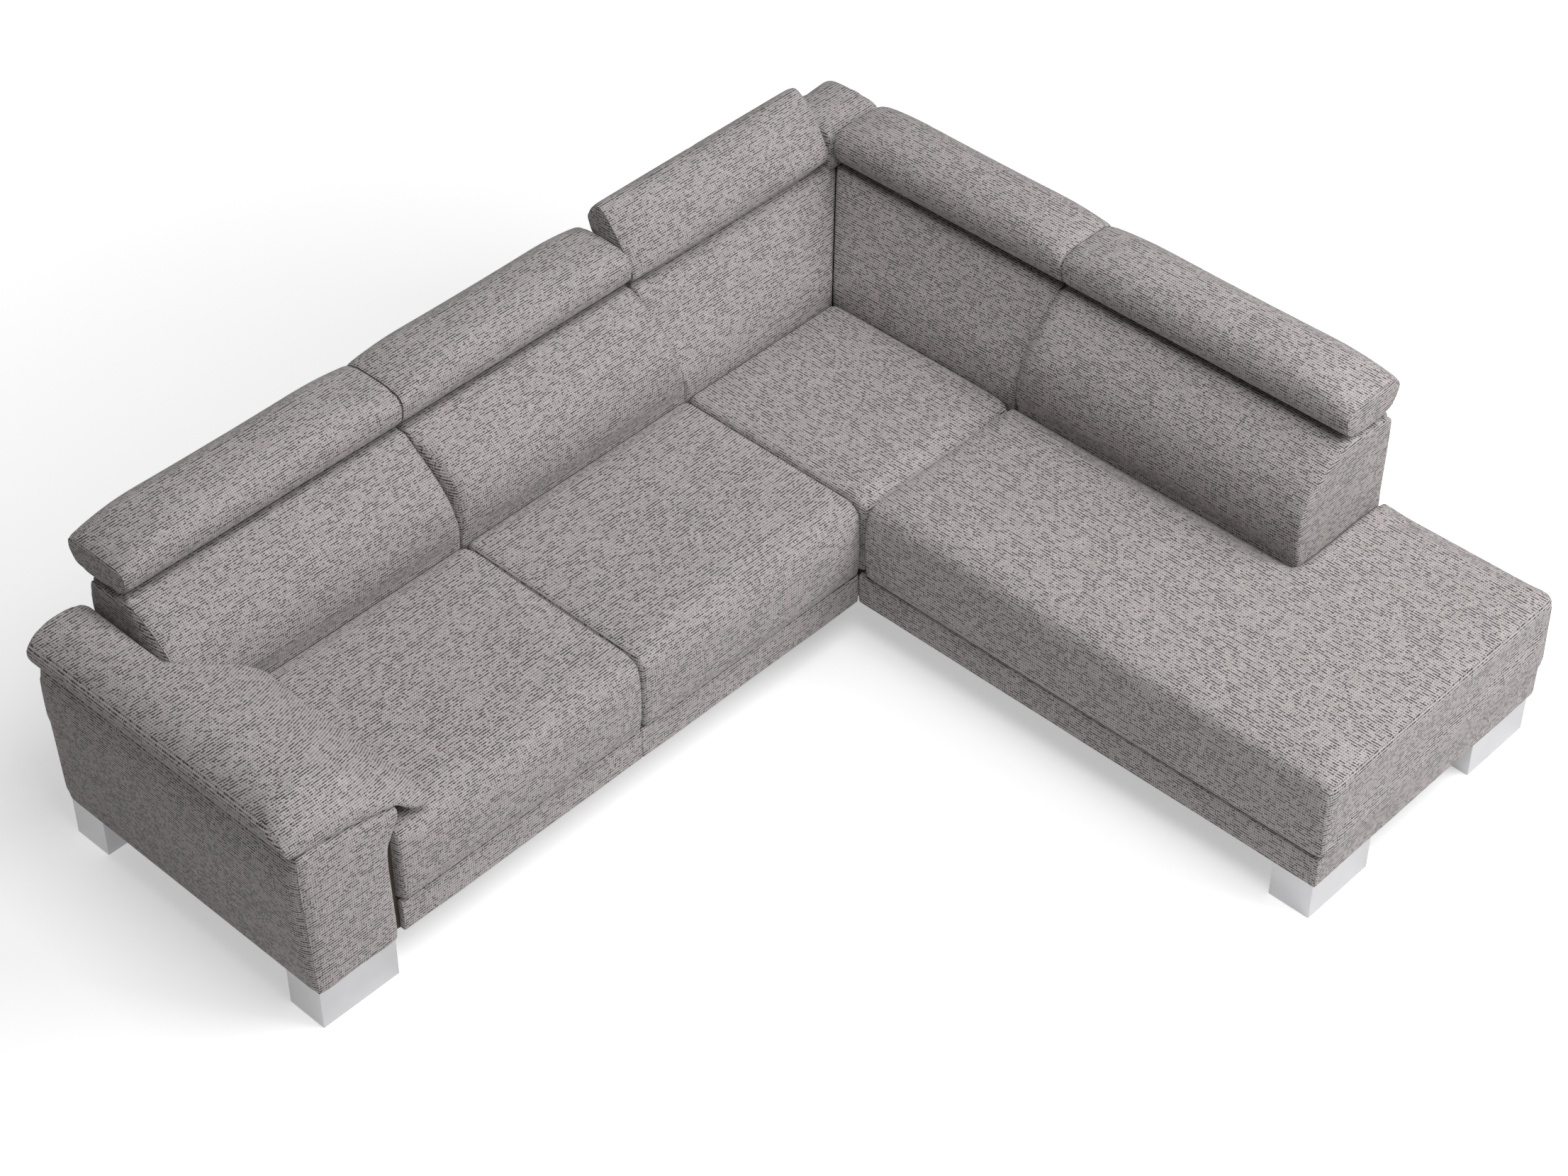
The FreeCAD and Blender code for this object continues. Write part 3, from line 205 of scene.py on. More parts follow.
class Shade:
    """A socket of a material's tree that can stand in an expression."""

    def __init__(self, tree, socket=None):
        self.tree = tree
        self.socket = socket

    def node(self, kind, settings=None, inputs=None, output=0):
        """Add a node, set it up, join or fill its sockets, and give one of its outputs."""
        made = self.tree.nodes.new(kind)
        for name, value in (settings or {}).items():
            setattr(made, name, value)
        self.feed(made, inputs or {})
        return Shade(self.tree, made.outputs[output])

    def feed(self, node, values):
        """Join or fill the named sockets of a node."""
        for name, value in values.items():
            self.join(node.inputs[name], value)

    def join(self, target, value):
        if isinstance(value, Shade):
            self.tree.links.new(value.socket, target)
        else:
            target.default_value = value

    def math(self, operation, *values):
        return self.node("ShaderNodeMath", {"operation": operation}, dict(enumerate(values)))

    def __add__(self, other):
        return self.math("ADD", self, other)

    def __radd__(self, other):
        return self.math("ADD", other, self)

    def __sub__(self, other):
        return self.math("SUBTRACT", self, other)

    def __rsub__(self, other):
        return self.math("SUBTRACT", other, self)

    def __mul__(self, other):
        return self.math("MULTIPLY", self, other)

    def __truediv__(self, other):
        return self.math("DIVIDE", self, other)

    def __gt__(self, other):
        return self.math("GREATER_THAN", self, other)

    def __abs__(self):
        return self.math("ABSOLUTE", self)

    def ramp(self, low, high):
        """0 below the low value, 1 above the high one, smooth between them."""
        return self.node(
            "ShaderNodeMapRange", {"interpolation_type": "SMOOTHSTEP"},
            {"Value": self, "From Min": low, "From Max": high},
        )

    def between(self, first, second):
        """The first value where this one is 0, and the second where it is 1."""
        return first + self * (second - first)

    def largest(self, *others):
        """The largest of this value and the others."""
        result = self
        for other in others:
            result = self.math("MAXIMUM", result, other)
        return result

    def vector(self, x, y, z):
        return self.node("ShaderNodeCombineXYZ", None, {"X": x, "Y": y, "Z": z})

    def split(self):
        """The three parts of a vector."""
        made = self.tree.nodes.new("ShaderNodeSeparateXYZ")
        self.join(made.inputs[0], self)
        return [Shade(self.tree, output) for output in made.outputs]

    def clouds(self, x, y, z, scale, detail=2.0):
        """Soft noise over three coordinates."""
        inputs = {"Vector": self.vector(x, y, z), "Scale": scale, "Detail": detail}
        return self.node("ShaderNodeTexNoise", None, inputs)

    def bump(self, strength, distance, height):
        inputs = {"Strength": strength, "Distance": distance, "Height": height}
        return self.node("ShaderNodeBump", None, inputs)

    def colour_between(self, first, second):
        """A colour from the first to the second by this value."""
        return self.node("ShaderNodeMix", {"data_type": "RGBA"}, {0: self, 6: first, 7: second}, 2)


def rgba(colour, share=1.0):
    """A colour for a socket, made darker or paler by a share."""
    return (*(min(value * share, 1.0) for value in colour[:3]), 1.0)


def new_material(name):
    """A material with one Principled shader, its tree wrapped for sums, and the shader."""
    material = bpy.data.materials.new(name)
    material.use_nodes = True
    tree = material.node_tree
    return material, Shade(tree), tree.nodes["Principled BSDF"]


def places(shade):
    """Position and normal in the piece's own frame, as three values each."""
    return [shade.node("ShaderNodeTexCoord", output=kind).split() for kind in ("Object", "Normal")]


def woven_cloth(name, wing):
    """Coarse plain weave with dark slubs along the wing; its grooves and holes hold painted shade."""
    sizes = bpy.context.scene.sofa_sizes
    finish = bpy.context.scene.sofa_finish
    material, shade, shader = new_material(name)
    (x, y, z), (nx, ny, nz) = places(shade)
    run, away, side, out = (x, y, nx, ny) if wing == LONG else (y, x, ny, nx)
    panel = abs(side) > 0.75
    behind = (out * nz) > 0.18
    down = behind.between(away + z, away - z)
    u = panel.between(run, away) / sizes.thread_pitch
    v = panel.between(down, z) / sizes.row_pitch
    column = u.math("ROUND", u)
    row = v.math("ROUND", v)
    off_column = abs(u - column) * 2.0
    off_row = abs(v - row) * 2.0

    def chance(*values):
        where = shade.vector(*values)
        return shade.node("ShaderNodeTexWhiteNoise", {"noise_dimensions": "3D"}, {"Vector": where})

    def dashes(along, line, length, seed, share):
        """Dark dashes of about that many crossings, each in one groove of the weave."""
        place = along / length + chance(line, seed, 0.0) * 9.0
        number = place.math("FLOOR", place)
        inside = place - number
        ends = inside.ramp(0.0, 0.16) * (1.0 - inside.ramp(0.84, 1.0))
        return ends * (share > chance(number, line, seed + 3.0))

    share = shade.clouds(u / 22.0, v / 9.0, 0.0, 1.0, 3.0).ramp(0.30, 0.72)
    groove = 1.0 - off_row.ramp(0.22, 0.72)
    notch = 1.0 - off_column.ramp(0.20, 0.75)
    slit = 1.0 - off_column.ramp(0.10, 0.50)
    slub = dashes(u, row, length=3.2, seed=1.0, share=share.between(0.19, 0.32))
    slub = slub * groove * (0.75 + notch * 0.25)
    short = dashes(u, row, length=1.3, seed=7.0, share=share.between(0.17, 0.28)) * groove
    fleck = dashes(v, column, length=1.1, seed=5.0, share=share.between(0.03, 0.06)) * slit
    # Painted shade: the holes where the grooves cross are darkened toward the dark slub colour, by a random
    # amount.
    painted_pit_shade = groove * notch * (0.25 + chance(column, row, 13.0) * 0.75)
    # dark holds the slubs, short dashes and flecks, which are the cloth's own dark threads, and the painted
    # shade of the holes.
    dark = slub.largest(short, painted_pit_shade, fleck)
    pale = chance(column, row, 11.0)
    tone = shade.clouds(u / 2.4, v / 0.9, 0.0, 1.0)
    light = finish.cloth_light
    paleness = tone.ramp(0.25, 0.75) * 0.25 + pale * 0.75
    thread = paleness.colour_between(rgba(light, 0.78), rgba(light, 1.10))
    # Painted shade: the grooves between rows of threads are darkened toward 30 % of the light thread
    # colour.
    thread_with_groove_shade = (groove * 0.32).colour_between(thread, rgba(light, 0.30))
    relief = off_row.ramp(0.0, 1.0) * (0.55 + off_column.ramp(0.0, 1.0) * 0.45) - dark * 0.3
    shade.feed(shader, {
        "Base Color": (dark * 0.96).colour_between(thread_with_groove_shade, rgba(finish.cloth_dark)),
        "Roughness": 0.92, "Sheen Weight": 0.12, "Sheen Roughness": 0.5, "Specular IOR Level": 0.2,
        "Normal": shade.bump(0.5, 0.0018, relief),
    })
    return material


def satin_metal(name, colour, roughness, brush):
    """Metal with fine brushing along X and a little unevenness."""
    material, shade, shader = new_material(name)
    x, y, z = places(shade)[0]
    strokes = shade.clouds(x * 6.0, y * 6.0, z * brush, 40.0, 3.0)
    patches = shade.clouds(x, y, z, 9.0)
    shade.feed(shader, {
        "Base Color": patches.ramp(0.3, 0.7).colour_between(rgba(colour, 0.94), rgba(colour)),
        "Metallic": 1.0,
        "Roughness": roughness + (strokes - 0.5) * 0.12 + (patches - 0.5) * 0.10,
        "Normal": shade.bump(0.12, 0.0004, strokes),
    })
    return material


def grained_wood(name, colour, across):
    """Sawn boards with growth rings drawn out along their length."""
    material, shade, shader = new_material(name)
    x, y, z = places(shade)[0]
    grain = shade.clouds(x * across, y * across, z * 14.0, 6.0, 6.0)
    rings = (grain * 9.0).math("FRACT", grain * 9.0).ramp(0.1, 0.9)
    shade.feed(shader, {
        "Base Color": rings.colour_between(rgba(colour), rgba(colour, 0.62)), "Roughness": 0.7,
        "Normal": shade.bump(0.2, 0.0006, grain),
    })
    return material


def spun_cloth(name, colour, pitch):
    """Thin pressed cloth or webbing with a small regular dimple."""
    material, shade, shader = new_material(name)
    x, y, z = places(shade)[0]
    turn = 2.0 * math.pi / pitch
    dimple = x.math("SINE", x * turn) * y.math("SINE", y * turn)
    spread = shade.clouds(x, y, z, 60.0).ramp(0.3, 0.8)
    shade.feed(shader, {
        "Base Color": spread.colour_between(rgba(colour), rgba(colour, 2.2)), "Roughness": 0.9,
        "Normal": shade.bump(0.4, 0.0005, dimple),
    })
    return material


def material_named(name):
    """The named finish, made the first time that a piece asks for it."""
    found = bpy.data.materials.get(name)
    if found:
        return found
    finish = bpy.context.scene.sofa_finish
    makers = {
        "woven_cloth_long": (woven_cloth, LONG),
        "woven_cloth_right": (woven_cloth, RIGHT),
        "satin_feet": (satin_metal, finish.foot_metal, 0.32, 60.0),
        "zinc_steel": (satin_metal, finish.hinge_steel, 0.42, 12.0),
        "frame_timber": (grained_wood, finish.timber, 0.9),
        # Painted shade: boards that show in gaps are near black so that the gaps read as shadow.
        "dark_board": (grained_wood, rgba(finish.timber, 0.10), 0.9),
        "lining_cloth": (spun_cloth, finish.lining, 0.003),
        "strap_webbing": (spun_cloth, rgba(finish.lining, 1.6), 0.005),
        "leg_plastic": (spun_cloth, finish.lining, 0.0012),
    }
    maker, *values = makers[name]
    return maker(name, *values)


# Meshes


def blend(at, first_at, second_at, first, second):
    """The value at a place on the straight line through two others."""
    run = second_at - first_at
    return (second_at - at) / run * first + (at - first_at) / run * second


def smooth_ring(points, steps=5):
    """A closed curve through the points, as an array of that many steps for each."""
    points = np.array(points, float)
    before, after, later = (np.roll(points, shift, axis=0) for shift in (1, -1, -2))
    gaps = [
        np.maximum(np.linalg.norm(b - a, axis=1), 1e-6)[:, None] ** 0.5
        for a, b in ((before, points), (points, after), (after, later))
    ]
    t0 = 0.0
    t1 = gaps[0]
    t2 = t1 + gaps[1]
    t3 = t2 + gaps[2]
    rows = []
    for step in range(steps):
        t = t1 + (t2 - t1) * step / steps
        a1 = blend(t, t0, t1, before, points)
        a2 = blend(t, t1, t2, points, after)
        a3 = blend(t, t2, t3, after, later)
        b1 = blend(t, t0, t2, a1, a2)
        b2 = blend(t, t1, t3, a2, a3)
        rows.append(blend(t, t1, t2, b1, b2))
    return np.stack(rows, axis=1).reshape(-1, points.shape[1])


def placed(name, data):
    made = bpy.data.objects.new(name, data)
    bpy.context.scene.collection.objects.link(made)
    return made


def mesh_object(name, points, faces, material):
    mesh = bpy.data.meshes.new(name)
    mesh.from_pydata([tuple(point) for point in points], [], faces)
    mesh.update()
    made = placed(name, mesh)
    mesh.materials.append(material_named(material))
    for face in mesh.polygons:
        face.use_smooth = True
    return made


def tube_faces(rings, count, closed=False):
    """Faces that join rings of that many points, with a cap on each end of an open tube."""
    faces = []
    for number in range(rings if closed else rings - 1):
        near = number * count
        far = (number + 1) % rings * count
        for i in range(count):
            j = (i + 1) % count
            faces.append((near + i, near + j, far + j, far + i))
    if not closed:
        faces.append(tuple(reversed(range(count))))
        faces.append(tuple(range((rings - 1) * count, rings * count)))
    return faces


def sweep(name, wing, stations, weave=None):
    """A closed cloth mesh through rings of (depth, height) points, at places along a wing."""
    count = len(stations[0][1])
    points = []
    for along, ring in stations:
        spots = np.broadcast_to(along, count)
        points += [to_row(wing, spot, depth, height) for spot, (depth, height) in zip(spots, ring)]
    made = mesh_object(name, points, tube_faces(len(stations), count), "woven_cloth_" + (weave or wing))
    make_outward(made)
    return made


def make_outward(made):
    """Turn a closed mesh's faces outward."""
    mesh = made.data
    total = 0.0
    for face in mesh.polygons:
        corners = [mesh.vertices[i].co for i in face.vertices]
        for a, b in zip(corners[1:], corners[2:]):
            total += corners[0].dot(a.cross(b))
    if total < 0:
        mesh.flip_normals()


def baked(made):
    """Put what the modifiers give into the mesh, and drop them."""
    graph = bpy.context.evaluated_depsgraph_get()
    graph.update()
    mesh = bpy.data.meshes.new_from_object(made.evaluated_get(graph))
    old = made.data
    made.modifiers.clear()
    made.data = mesh
    bpy.data.meshes.remove(old)
    for face in mesh.polygons:
        face.use_smooth = True


def per_vertex(mesh, kind="co"):
    """The places of a mesh's vertices, or their normals, as rows of three."""
    flat = np.empty(len(mesh.vertices) * 3)
    mesh.vertices.foreach_get(kind, flat)
    return flat.reshape(-1, 3)


def set_places(made, points):
    made.data.vertices.foreach_set("co", np.asarray(points, float).ravel())
    made.data.update()


filled = []


def fill(made, held, voxel=None):
    """Note a padded piece for the cloth simulation. held(points) says where it is sewn down."""
    sizes = bpy.context.scene.sofa_sizes
    remesh = made.modifiers.new("Even grid", "REMESH")
    remesh.mode = "VOXEL"
    remesh.voxel_size = voxel or sizes.cloth_voxel
    baked(made)
    points = (per_vertex(made.data) - np.array(inner_corner)) / MM
    sewn = made.vertex_groups.new(name="sewn")
    sewn.add([int(i) for i in np.nonzero(held(points))[0]], 1.0, "REPLACE")
    cloth = made.modifiers.new("Filling", "CLOTH")
    cloth.settings.use_pressure = True
    cloth.settings.uniform_pressure_force = sizes.pressure
    cloth.settings.quality = 3
    cloth.settings.vertex_group_mass = "sewn"
    cloth.settings.effector_weights.gravity = 0.0
    filled.append(made)


def settle():
    """Run every padded piece's cloth at once, limit how far it moves, and keep the result."""
    scene = bpy.context.scene
    limit = scene.sofa_sizes.swell
    last_frame = 20
    if not filled:
        return
    starts = [per_vertex(made.data) for made in filled]
    for number in range(1, last_frame + 1):
        scene.frame_set(number)
    graph = bpy.context.evaluated_depsgraph_get()
    ends = [per_vertex(made.evaluated_get(graph).data) for made in filled]
    scene.frame_set(1)
    for made, start, end in zip(filled, starts, ends):
        made.modifiers.clear()
        step = end - start
        length = np.linalg.norm(step, axis=1, keepdims=True)
        share = limit * np.tanh(length / limit) / np.maximum(length, 1e-9)
        set_places(made, start + step * share)
        made.vertex_groups.clear()
        smooth = made.modifiers.new("Smooth", "SUBSURF")
        smooth.levels = 1
        smooth.render_levels = 1
        baked(made)


def ripple(made, size, spacing):
    """Push the surface in and out a little, as cloth over foam never lies dead flat."""
    points = per_vertex(made.data)
    amounts = np.array([noise.noise(Vector(point) / spacing) for point in points])
    set_places(made, points + per_vertex(made.data, "normal") * (amounts * size)[:, None])


def finish_piece(made, nodes=(), body="sofa_body"):
    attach(made, body)
    if nodes:
        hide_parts(*nodes)


# Seats


def seat_ring(front, rear, crown_share, inset, open_rear=False):
    """Outline of a seat: soft front edge, crowned top, and the same edge behind if that is open."""
    sizes = bpy.context.scene.sofa_sizes
    low = seat_low
    crown = sizes.seat_crown * crown_share
    f = front + inset
    t = sizes.seat_height - inset
    r = rear - inset
    middle = (f + r) / 2
    ring = [
        (f + 10, low), (f + 3, low + 22), (f - 2, (low + t) / 2), (f + 1, t - 46), (f + 5, t - 22),
        (f + 15, t - 8), (f + 34, t - 1), (f + (r - f) * 0.25, t + crown * 0.8), (middle, t + crown),
        (r - (r - f) * 0.25, t + crown * 0.8),
    ]
    if open_rear:
        ring += [(r - 22, t + 1), (r - 9, t - 3), (r, t - 14), (r + 2, t - 40)]
        ring += [(r + 2, (low + t) / 2), (r - 3, low + 22), (r - 10, low)]
    else:
        ring += [(r - 30, t + 1), (r - 12, t - 2), (r - 3, t - 10), (r, t - 30)]
        ring += [(r, (low + t) / 2), (r, low + 22), (r - 6, low)]
    ring.append((middle, low))
    return smooth_ring(ring)


def edge_stations(start, end, soft_start=14.0, soft_end=14.0, count=8):
    """Places along a piece, with how far its outline is drawn in there."""
    curve = ((0.0, 1.0), (0.12, 0.52), (0.35, 0.20), (0.65, 0.05), (1.0, 0.0))
    spread = 1.3
    inner_start = start + soft_start * spread
    inner_end = end - soft_end * spread
    stations = [(start + at * soft_start * spread, soft_start * inset) for at, inset in curve]
    for number in range(1, count):
        stations.append((inner_start + (inner_end - inner_start) * number / count, 0.0))
    stations += [(end - at * soft_end * spread, soft_end * inset) for at, inset in reversed(curve)]
    return stations


def middle_share(along, start, end):
    """1 midway along a seat, and 0 at its ends."""
    return 1.0 - abs(2 * (along - start) / (end - start) - 1.0) ** 3


class SOFA_OT_seats(Operator):
    """Make the four seat cushions"""
    bl_idname = "sofa.seats"
    bl_label = "Seats"

    def execute(self, context):
        self.bay("left", seats_left + clear, seat_division - clear)
        self.bay("middle", seat_division + clear, -clear)
        self.corner()
        self.chaise()
        return {"FINISHED"}

    def bay(self, name, start, end):
        stations = []
        for along, inset in edge_stations(start, end):
            middle = middle_share(along, start, end)
            ring = seat_ring(-seat_nose - seat_bow * middle, long_seat_depth - clear, middle, inset)
            stations.append((along, ring))
        seat = sweep("seat_" + name, LONG, stations)
        fill(seat, lambda p: (
            (p[:, 2] < seat_seam) | (p[:, 1] > long_seat_depth - 15)
            | (p[:, 0] < start + sewn_edge) | (p[:, 0] > end - sewn_edge)
        ))
        finish_piece(seat, ["seat_cushion_" + name])

    def corner(self):
        stations = []
        for along, inset in edge_stations(clear, wing_seat_depth - clear, 12.0, 5.0):
            ring = seat_ring(corner_seat_front + clear, long_seat_depth - clear, 1.0, inset)
            stations.append((along, ring))
        seat = sweep("seat_corner", LONG, stations, RIGHT)
        crown_edge = 400
        fill(seat, lambda p: (
            (p[:, 2] < crown_edge) | (p[:, 1] > long_seat_depth - 15) | (p[:, 0] > wing_seat_depth - 14)
            | (p[:, 0] < sewn_edge) | (p[:, 1] < corner_seat_front + sewn_edge)
        ))
        finish_piece(seat, ["seat_cushion_corner"])

    def chaise(self):
        """The long seat, swept along the right wing, with a step beside the back."""
        start = -corner_seat_front + clear
        end = -chaise_front
        step = wing_back_end
        stations = [*edge_stations(start, end, 12.0, 22.0, 22), (step + 1.0, 0.0), (step + 3.0, 0.0)]
        rings = []
        for along, inset in sorted(stations):
            middle = middle_share(along, start, end)
            wide = along > step + 2.0
            rear = wing_width + 10.0 if wide else wing_seat_depth - clear
            ring = seat_ring(-seat_nose - seat_bow * middle, rear, middle, inset, wide)
            rings.append((along, ring))
        seat = sweep("seat_chaise", RIGHT, rings)
        under_back = 418
        fill(seat, lambda p: (
            (p[:, 2] < seat_seam) | (p[:, 1] > corner_seat_front - 10)
            | ((p[:, 0] > wing_seat_depth - 21) & (p[:, 1] > -step - 15) & (p[:, 2] < under_back))
        ))
        finish_piece(seat, ["seat_cushion_chaise"])


# Backs

# Depth and height of the front of the long wing's backs, where they are full and where drawn in
full_front = (
    (704, 697), (668, 680), (630, 656), (588, 618), (565, 579), (558, 531), (563, 481), (573, 434),
)
flat_front = (
    (714, 694), (698, 670), (669, 631), (637, 583), (608, 543), (583, 502), (570, 466), (571, 434),
)


def back_ring(wing, amount, inset=0.0, rear_reach=0.0):
    """Outline of a back: the full form for amount 0, the drawn-in one for amount 1."""
    shift = seat_foot(wing) - long_seat_depth
    rear = wing_rear(wing) - 19.0 + rear_reach
    foot = seat_foot(wing) + clear + inset
    top = 701.0 - 4.0 * amount - inset
    front = [
        (full[0] + (flat[0] - full[0]) * amount + shift + inset,
         full[1] + (flat[1] - full[1]) * amount - inset * 0.6)
        for full, flat in zip(full_front, flat_front)
    ]
    first = front[0][0]
    return smooth_ring([
        (rear, back_low), (rear, 450), (rear, rear_top - 12), (rear - 8, rear_top - 1),
        ((rear + first) / 2, (rear_top + top) / 2 + 2), (first + 30, top - 2), (first + 10, top),
        *front,
        (foot, 400), (foot, 300), (foot, back_low + 8), (foot + 8, back_low), ((foot + rear) / 2, back_low),
    ])


def back_ending(panel):
    """Places in from a back's end, with the amount and the inset of its outline there."""
    if panel:
        return [(0.0, 0.0, 5.0), (2.0, 0.0, 1.5), (5.0, 0.0, 0.0), (12.0, 0.0, 0.0), (15.0, 0.0, 0.0)]
    curve = ((0.0, 1.0), (0.06, 0.66), (0.16, 0.42), (0.32, 0.21), (0.55, 0.08), (0.8, 0.02), (1.0, 0.0))
    return [(at * back_draw, amount, 0.0) for at, amount in curve]


def back_stations(start, end, panel_start, panel_end):
    """Where a back is full, and where it is drawn in to its neighbour or to a sewn end panel."""
    steps = 7
    inner = start + back_draw
    outer = end - back_draw
    stations = [(start + at, amount, inset) for at, amount, inset in back_ending(panel_start)]
    stations += [(inner + (outer - inner) * n / steps, 0.0, 0.0) for n in range(1, steps)]
    stations += [(end - at, amount, inset) for at, amount, inset in reversed(back_ending(panel_end))]
    return stations


def full_lean(wing):
    return division_lean if wing == LONG else 0.0


def lean_share(height):
    """How much of its lean a joint between backs has at a height."""
    return np.clip((height - lean_low) / lean_rise, 0.0, 1.0)


class SOFA_OT_backs(Operator):
    """Make the five back cushions"""
    bl_idname = "sofa.backs"
    bl_label = "Backs"

    def execute(self, context):
        self.plain("left", LONG, back_left + clear, back_division - clear, True, False)
        self.plain("middle", LONG, back_division + clear, -clear, False, False)
        self.plain("right_chaise", RIGHT, wing_division + clear, wing_back_end - clear, False, True)
        self.mitred("corner", LONG, clear)
        self.mitred("right_corner", RIGHT, wing_division - clear)
        return {"FINISHED"}

    def plain(self, name, wing, start, end, panel_start, panel_end):
        """A full back, each end drawn in or closed by a panel that reaches to the rear cover's face."""
        panel_reach, panel_rear = 13, 18.0
        above_arm = 502.0
        rings = []
        for along, amount, inset in back_stations(start, end, panel_start, panel_end):
            in_start = panel_start and along < start + panel_reach
            in_end = panel_end and along > end - panel_reach
            ring = back_ring(wing, amount, inset, panel_rear if in_start or in_end else 0.0)
            if name == "left" and along < seats_left + 2:
                ring[:, 1] = np.maximum(ring[:, 1], above_arm)
            near = 0.0 if panel_start else max(1.0 - (along - start) / lean_fade, 0.0)
            far = 0.0 if panel_end else max(1.0 - (end - along) / lean_fade, 0.0)
            rings.append((along - full_lean(wing) * max(near, far) * lean_share(ring[:, 1]), ring))
        back = sweep("back_" + name, wing, rings)

        def held(p):
            along, depth = from_row(wing, p)
            upright = along + full_lean(wing) * lean_share(p[:, 2])
            sides = (upright < start + back_sewn_edge) | (upright > end - back_sewn_edge)
            return (p[:, 2] < back_seam) | (depth > seat_foot(wing) + 135) | sides

        fill(back, held, fine_voxel)
        finish_piece(back, ["back_cushion_" + name])

    def mitred(self, name, wing, open_end):
        """A flat back whose other end is cut along the line between the two wings."""
        across = RIGHT if wing == LONG else LONG
        foot, rear = seat_foot(wing), wing_rear(wing)
        foot_across, rear_across = seat_foot(across), wing_rear(across)
        ring = back_ring(wing, 1.0)
        depth, height = ring[:, 0], ring[:, 1]
        mitre = foot_across + (depth - foot) / (rear - foot) * (rear_across - foot_across) - 1.5
        if wing == RIGHT:
            mitre = -mitre
        steps = 9
        rings = []
        for number in range(steps + 1):
            share = number / steps
            lean = full_lean(wing) * (1.0 - share) * lean_share(height)
            rings.append((open_end - lean + (mitre - open_end) * share, ring))
        if wing == RIGHT:
            rings.reverse()
        back = sweep("back_" + name, wing, rings)

        def held(p):
            along, depth = from_row(wing, p)
            x, y = p[:, 0] - wing_seat_depth, p[:, 1] - long_seat_depth
            run, rise = wing_width - wing_seat_depth, long_depth - long_seat_depth
            near_mitre = np.abs(x * rise - y * run) / math.hypot(run, rise) < 14
            near_end = np.abs(along - open_end) < back_sewn_edge + full_lean(wing)
            return (p[:, 2] < back_seam) | (depth > foot + 145) | near_mitre | near_end

        fill(back, held)
        finish_piece(back, ["back_cushion_" + name])


# Headrests

# Depth and height of a headrest's side before the ends are lowered
headrest_side = (
    (0, 36), (0.5, 56), (6, 80), (20, 98), (50, 106), (98, 109), (142, 107), (170, 101), (188, 88),
    (198, 67), (200, 43), (196, 20), (186, 2), (168, -10), (138, -14), (70, -12), (38, -9), (21, -3),
    (8, 8), (2, 20),
)
headrest_middle = (94.0, 45.0)
headrest_table = (
    ("left", LONG, -1565.0, -770.0, 0.62, 0.80),
    ("middle", LONG, -768.0, -40.0, 0.80, 0.80),
    ("corner", LONG, -38.0, 646.0, 0.66, 0.70),
    ("right_corner", RIGHT, -695.0, 40.0, 0.84, 0.82),
    ("right_chaise", RIGHT, 42.0, 882.0, 0.82, 0.72),
)


def headrest_rings(wing, start, end, first, last):
    """Outlines of a folded headrest, lower at its ends and rounded into the end panels."""
    front = seat_foot(wing) + headrest_back_run
    slope = 0.24 * (end - start)
    shoulder = 36
    rings = []
    for along, inset in edge_stations(start, end, 5.0, 5.0, 20):
        near = min((along - start) / slope, 1.0)
        far = min((end - along) / slope, 1.0)
        rise = 1.0 - (1.0 - first) * (1.0 - near) ** 2.2 - (1.0 - last) * (1.0 - far) ** 2.2
        points = []
        for depth, height in headrest_side:
            lifted = height
            if height > shoulder:
                lifted = shoulder + (height - shoulder) * (rise - 0.333) / 0.667
            out = depth - headrest_middle[0]
            up = lifted - headrest_middle[1]
            swell = 3.5 if height > 40 else 0.5
            pull = 1.0 + (swell - inset) / max(math.hypot(out, up), 1.0)
            points.append((
                front + headrest_middle[0] + out * pull,
                headrest_level + headrest_middle[1] + up * pull,
            ))
        rings.append((along, smooth_ring(points, 3)))
    return rings


def raised_turn(wing):
    """The turn from a folded headrest to a fully raised one on the long wing."""
    front = seat_foot(wing) + headrest_back_run
    pivot = to_row(wing, 0.0, front + pivot_back, headrest_level + pivot_up)
    turn = Matrix.Rotation(math.radians(click_angle), 4, "X")
    return Matrix.Translation(pivot) @ turn @ Matrix.Translation(-pivot)


class SOFA_OT_headrests(Operator):
    """Make the five click headrests, the corner one raised"""
    bl_idname = "sofa.headrests"
    bl_label = "Headrests"

    def execute(self, context):
        for name, wing, start, end, first, last in headrest_table:
            rest = sweep("headrest_" + name, wing, headrest_rings(wing, start, end, first, last))
            sewn_below = headrest_level + 8
            if name == "corner":
                rest.data.transform(raised_turn(wing))
                sewn_below = headrest_level + 23

            def held(p):
                along = from_row(wing, p)[0]
                sides = (along < start + headrest_sewn_edge) | (along > end - headrest_sewn_edge)
                return (p[:, 2] < sewn_below) | sides

            fill(rest, held, fine_voxel)
            finish_piece(rest, ["headrest_cushion_" + name], "headrest_" + name)
        return {"FINISHED"}


# Corner block


class SOFA_OT_corner_block(Operator):
    """Make the padded block between the two rows of headrests"""
    bl_idname = "sofa.corner_block"
    bl_label = "Corner block"

    def execute(self, context):
        left = wing_seat_depth + headrest_back_run + 1.0
        right = wing_width - 1.0
        front = long_seat_depth + headrest_back_run + 1.0
        rear = long_depth + 39.0
        low, side, top = 690, 740, 806.0
        rings = []
        for along, inset in edge_stations(left, right, 16.0, 22.0, 4):
            f, r, t = front + inset * 0.5, rear - inset * 0.5, top - inset
            middle = (f + r) / 2
            rings.append((along, smooth_ring([
                (f, low), (f, side), (f + 2, t - 26), (f + 12, t - 8), (f + 36, t), (middle, t + 6),
                (r - 36, t), (r - 12, t - 8), (r - 2, t - 26), (r, side), (r, low), (middle, low),
            ], 4)))
        block = sweep("corner_block_pad", LONG, rings)
        fill(block, lambda p: p[:, 2] < low + 30, 0.008)
        finish_piece(block, ["corner_block"])
        return {"FINISHED"}


# Arm

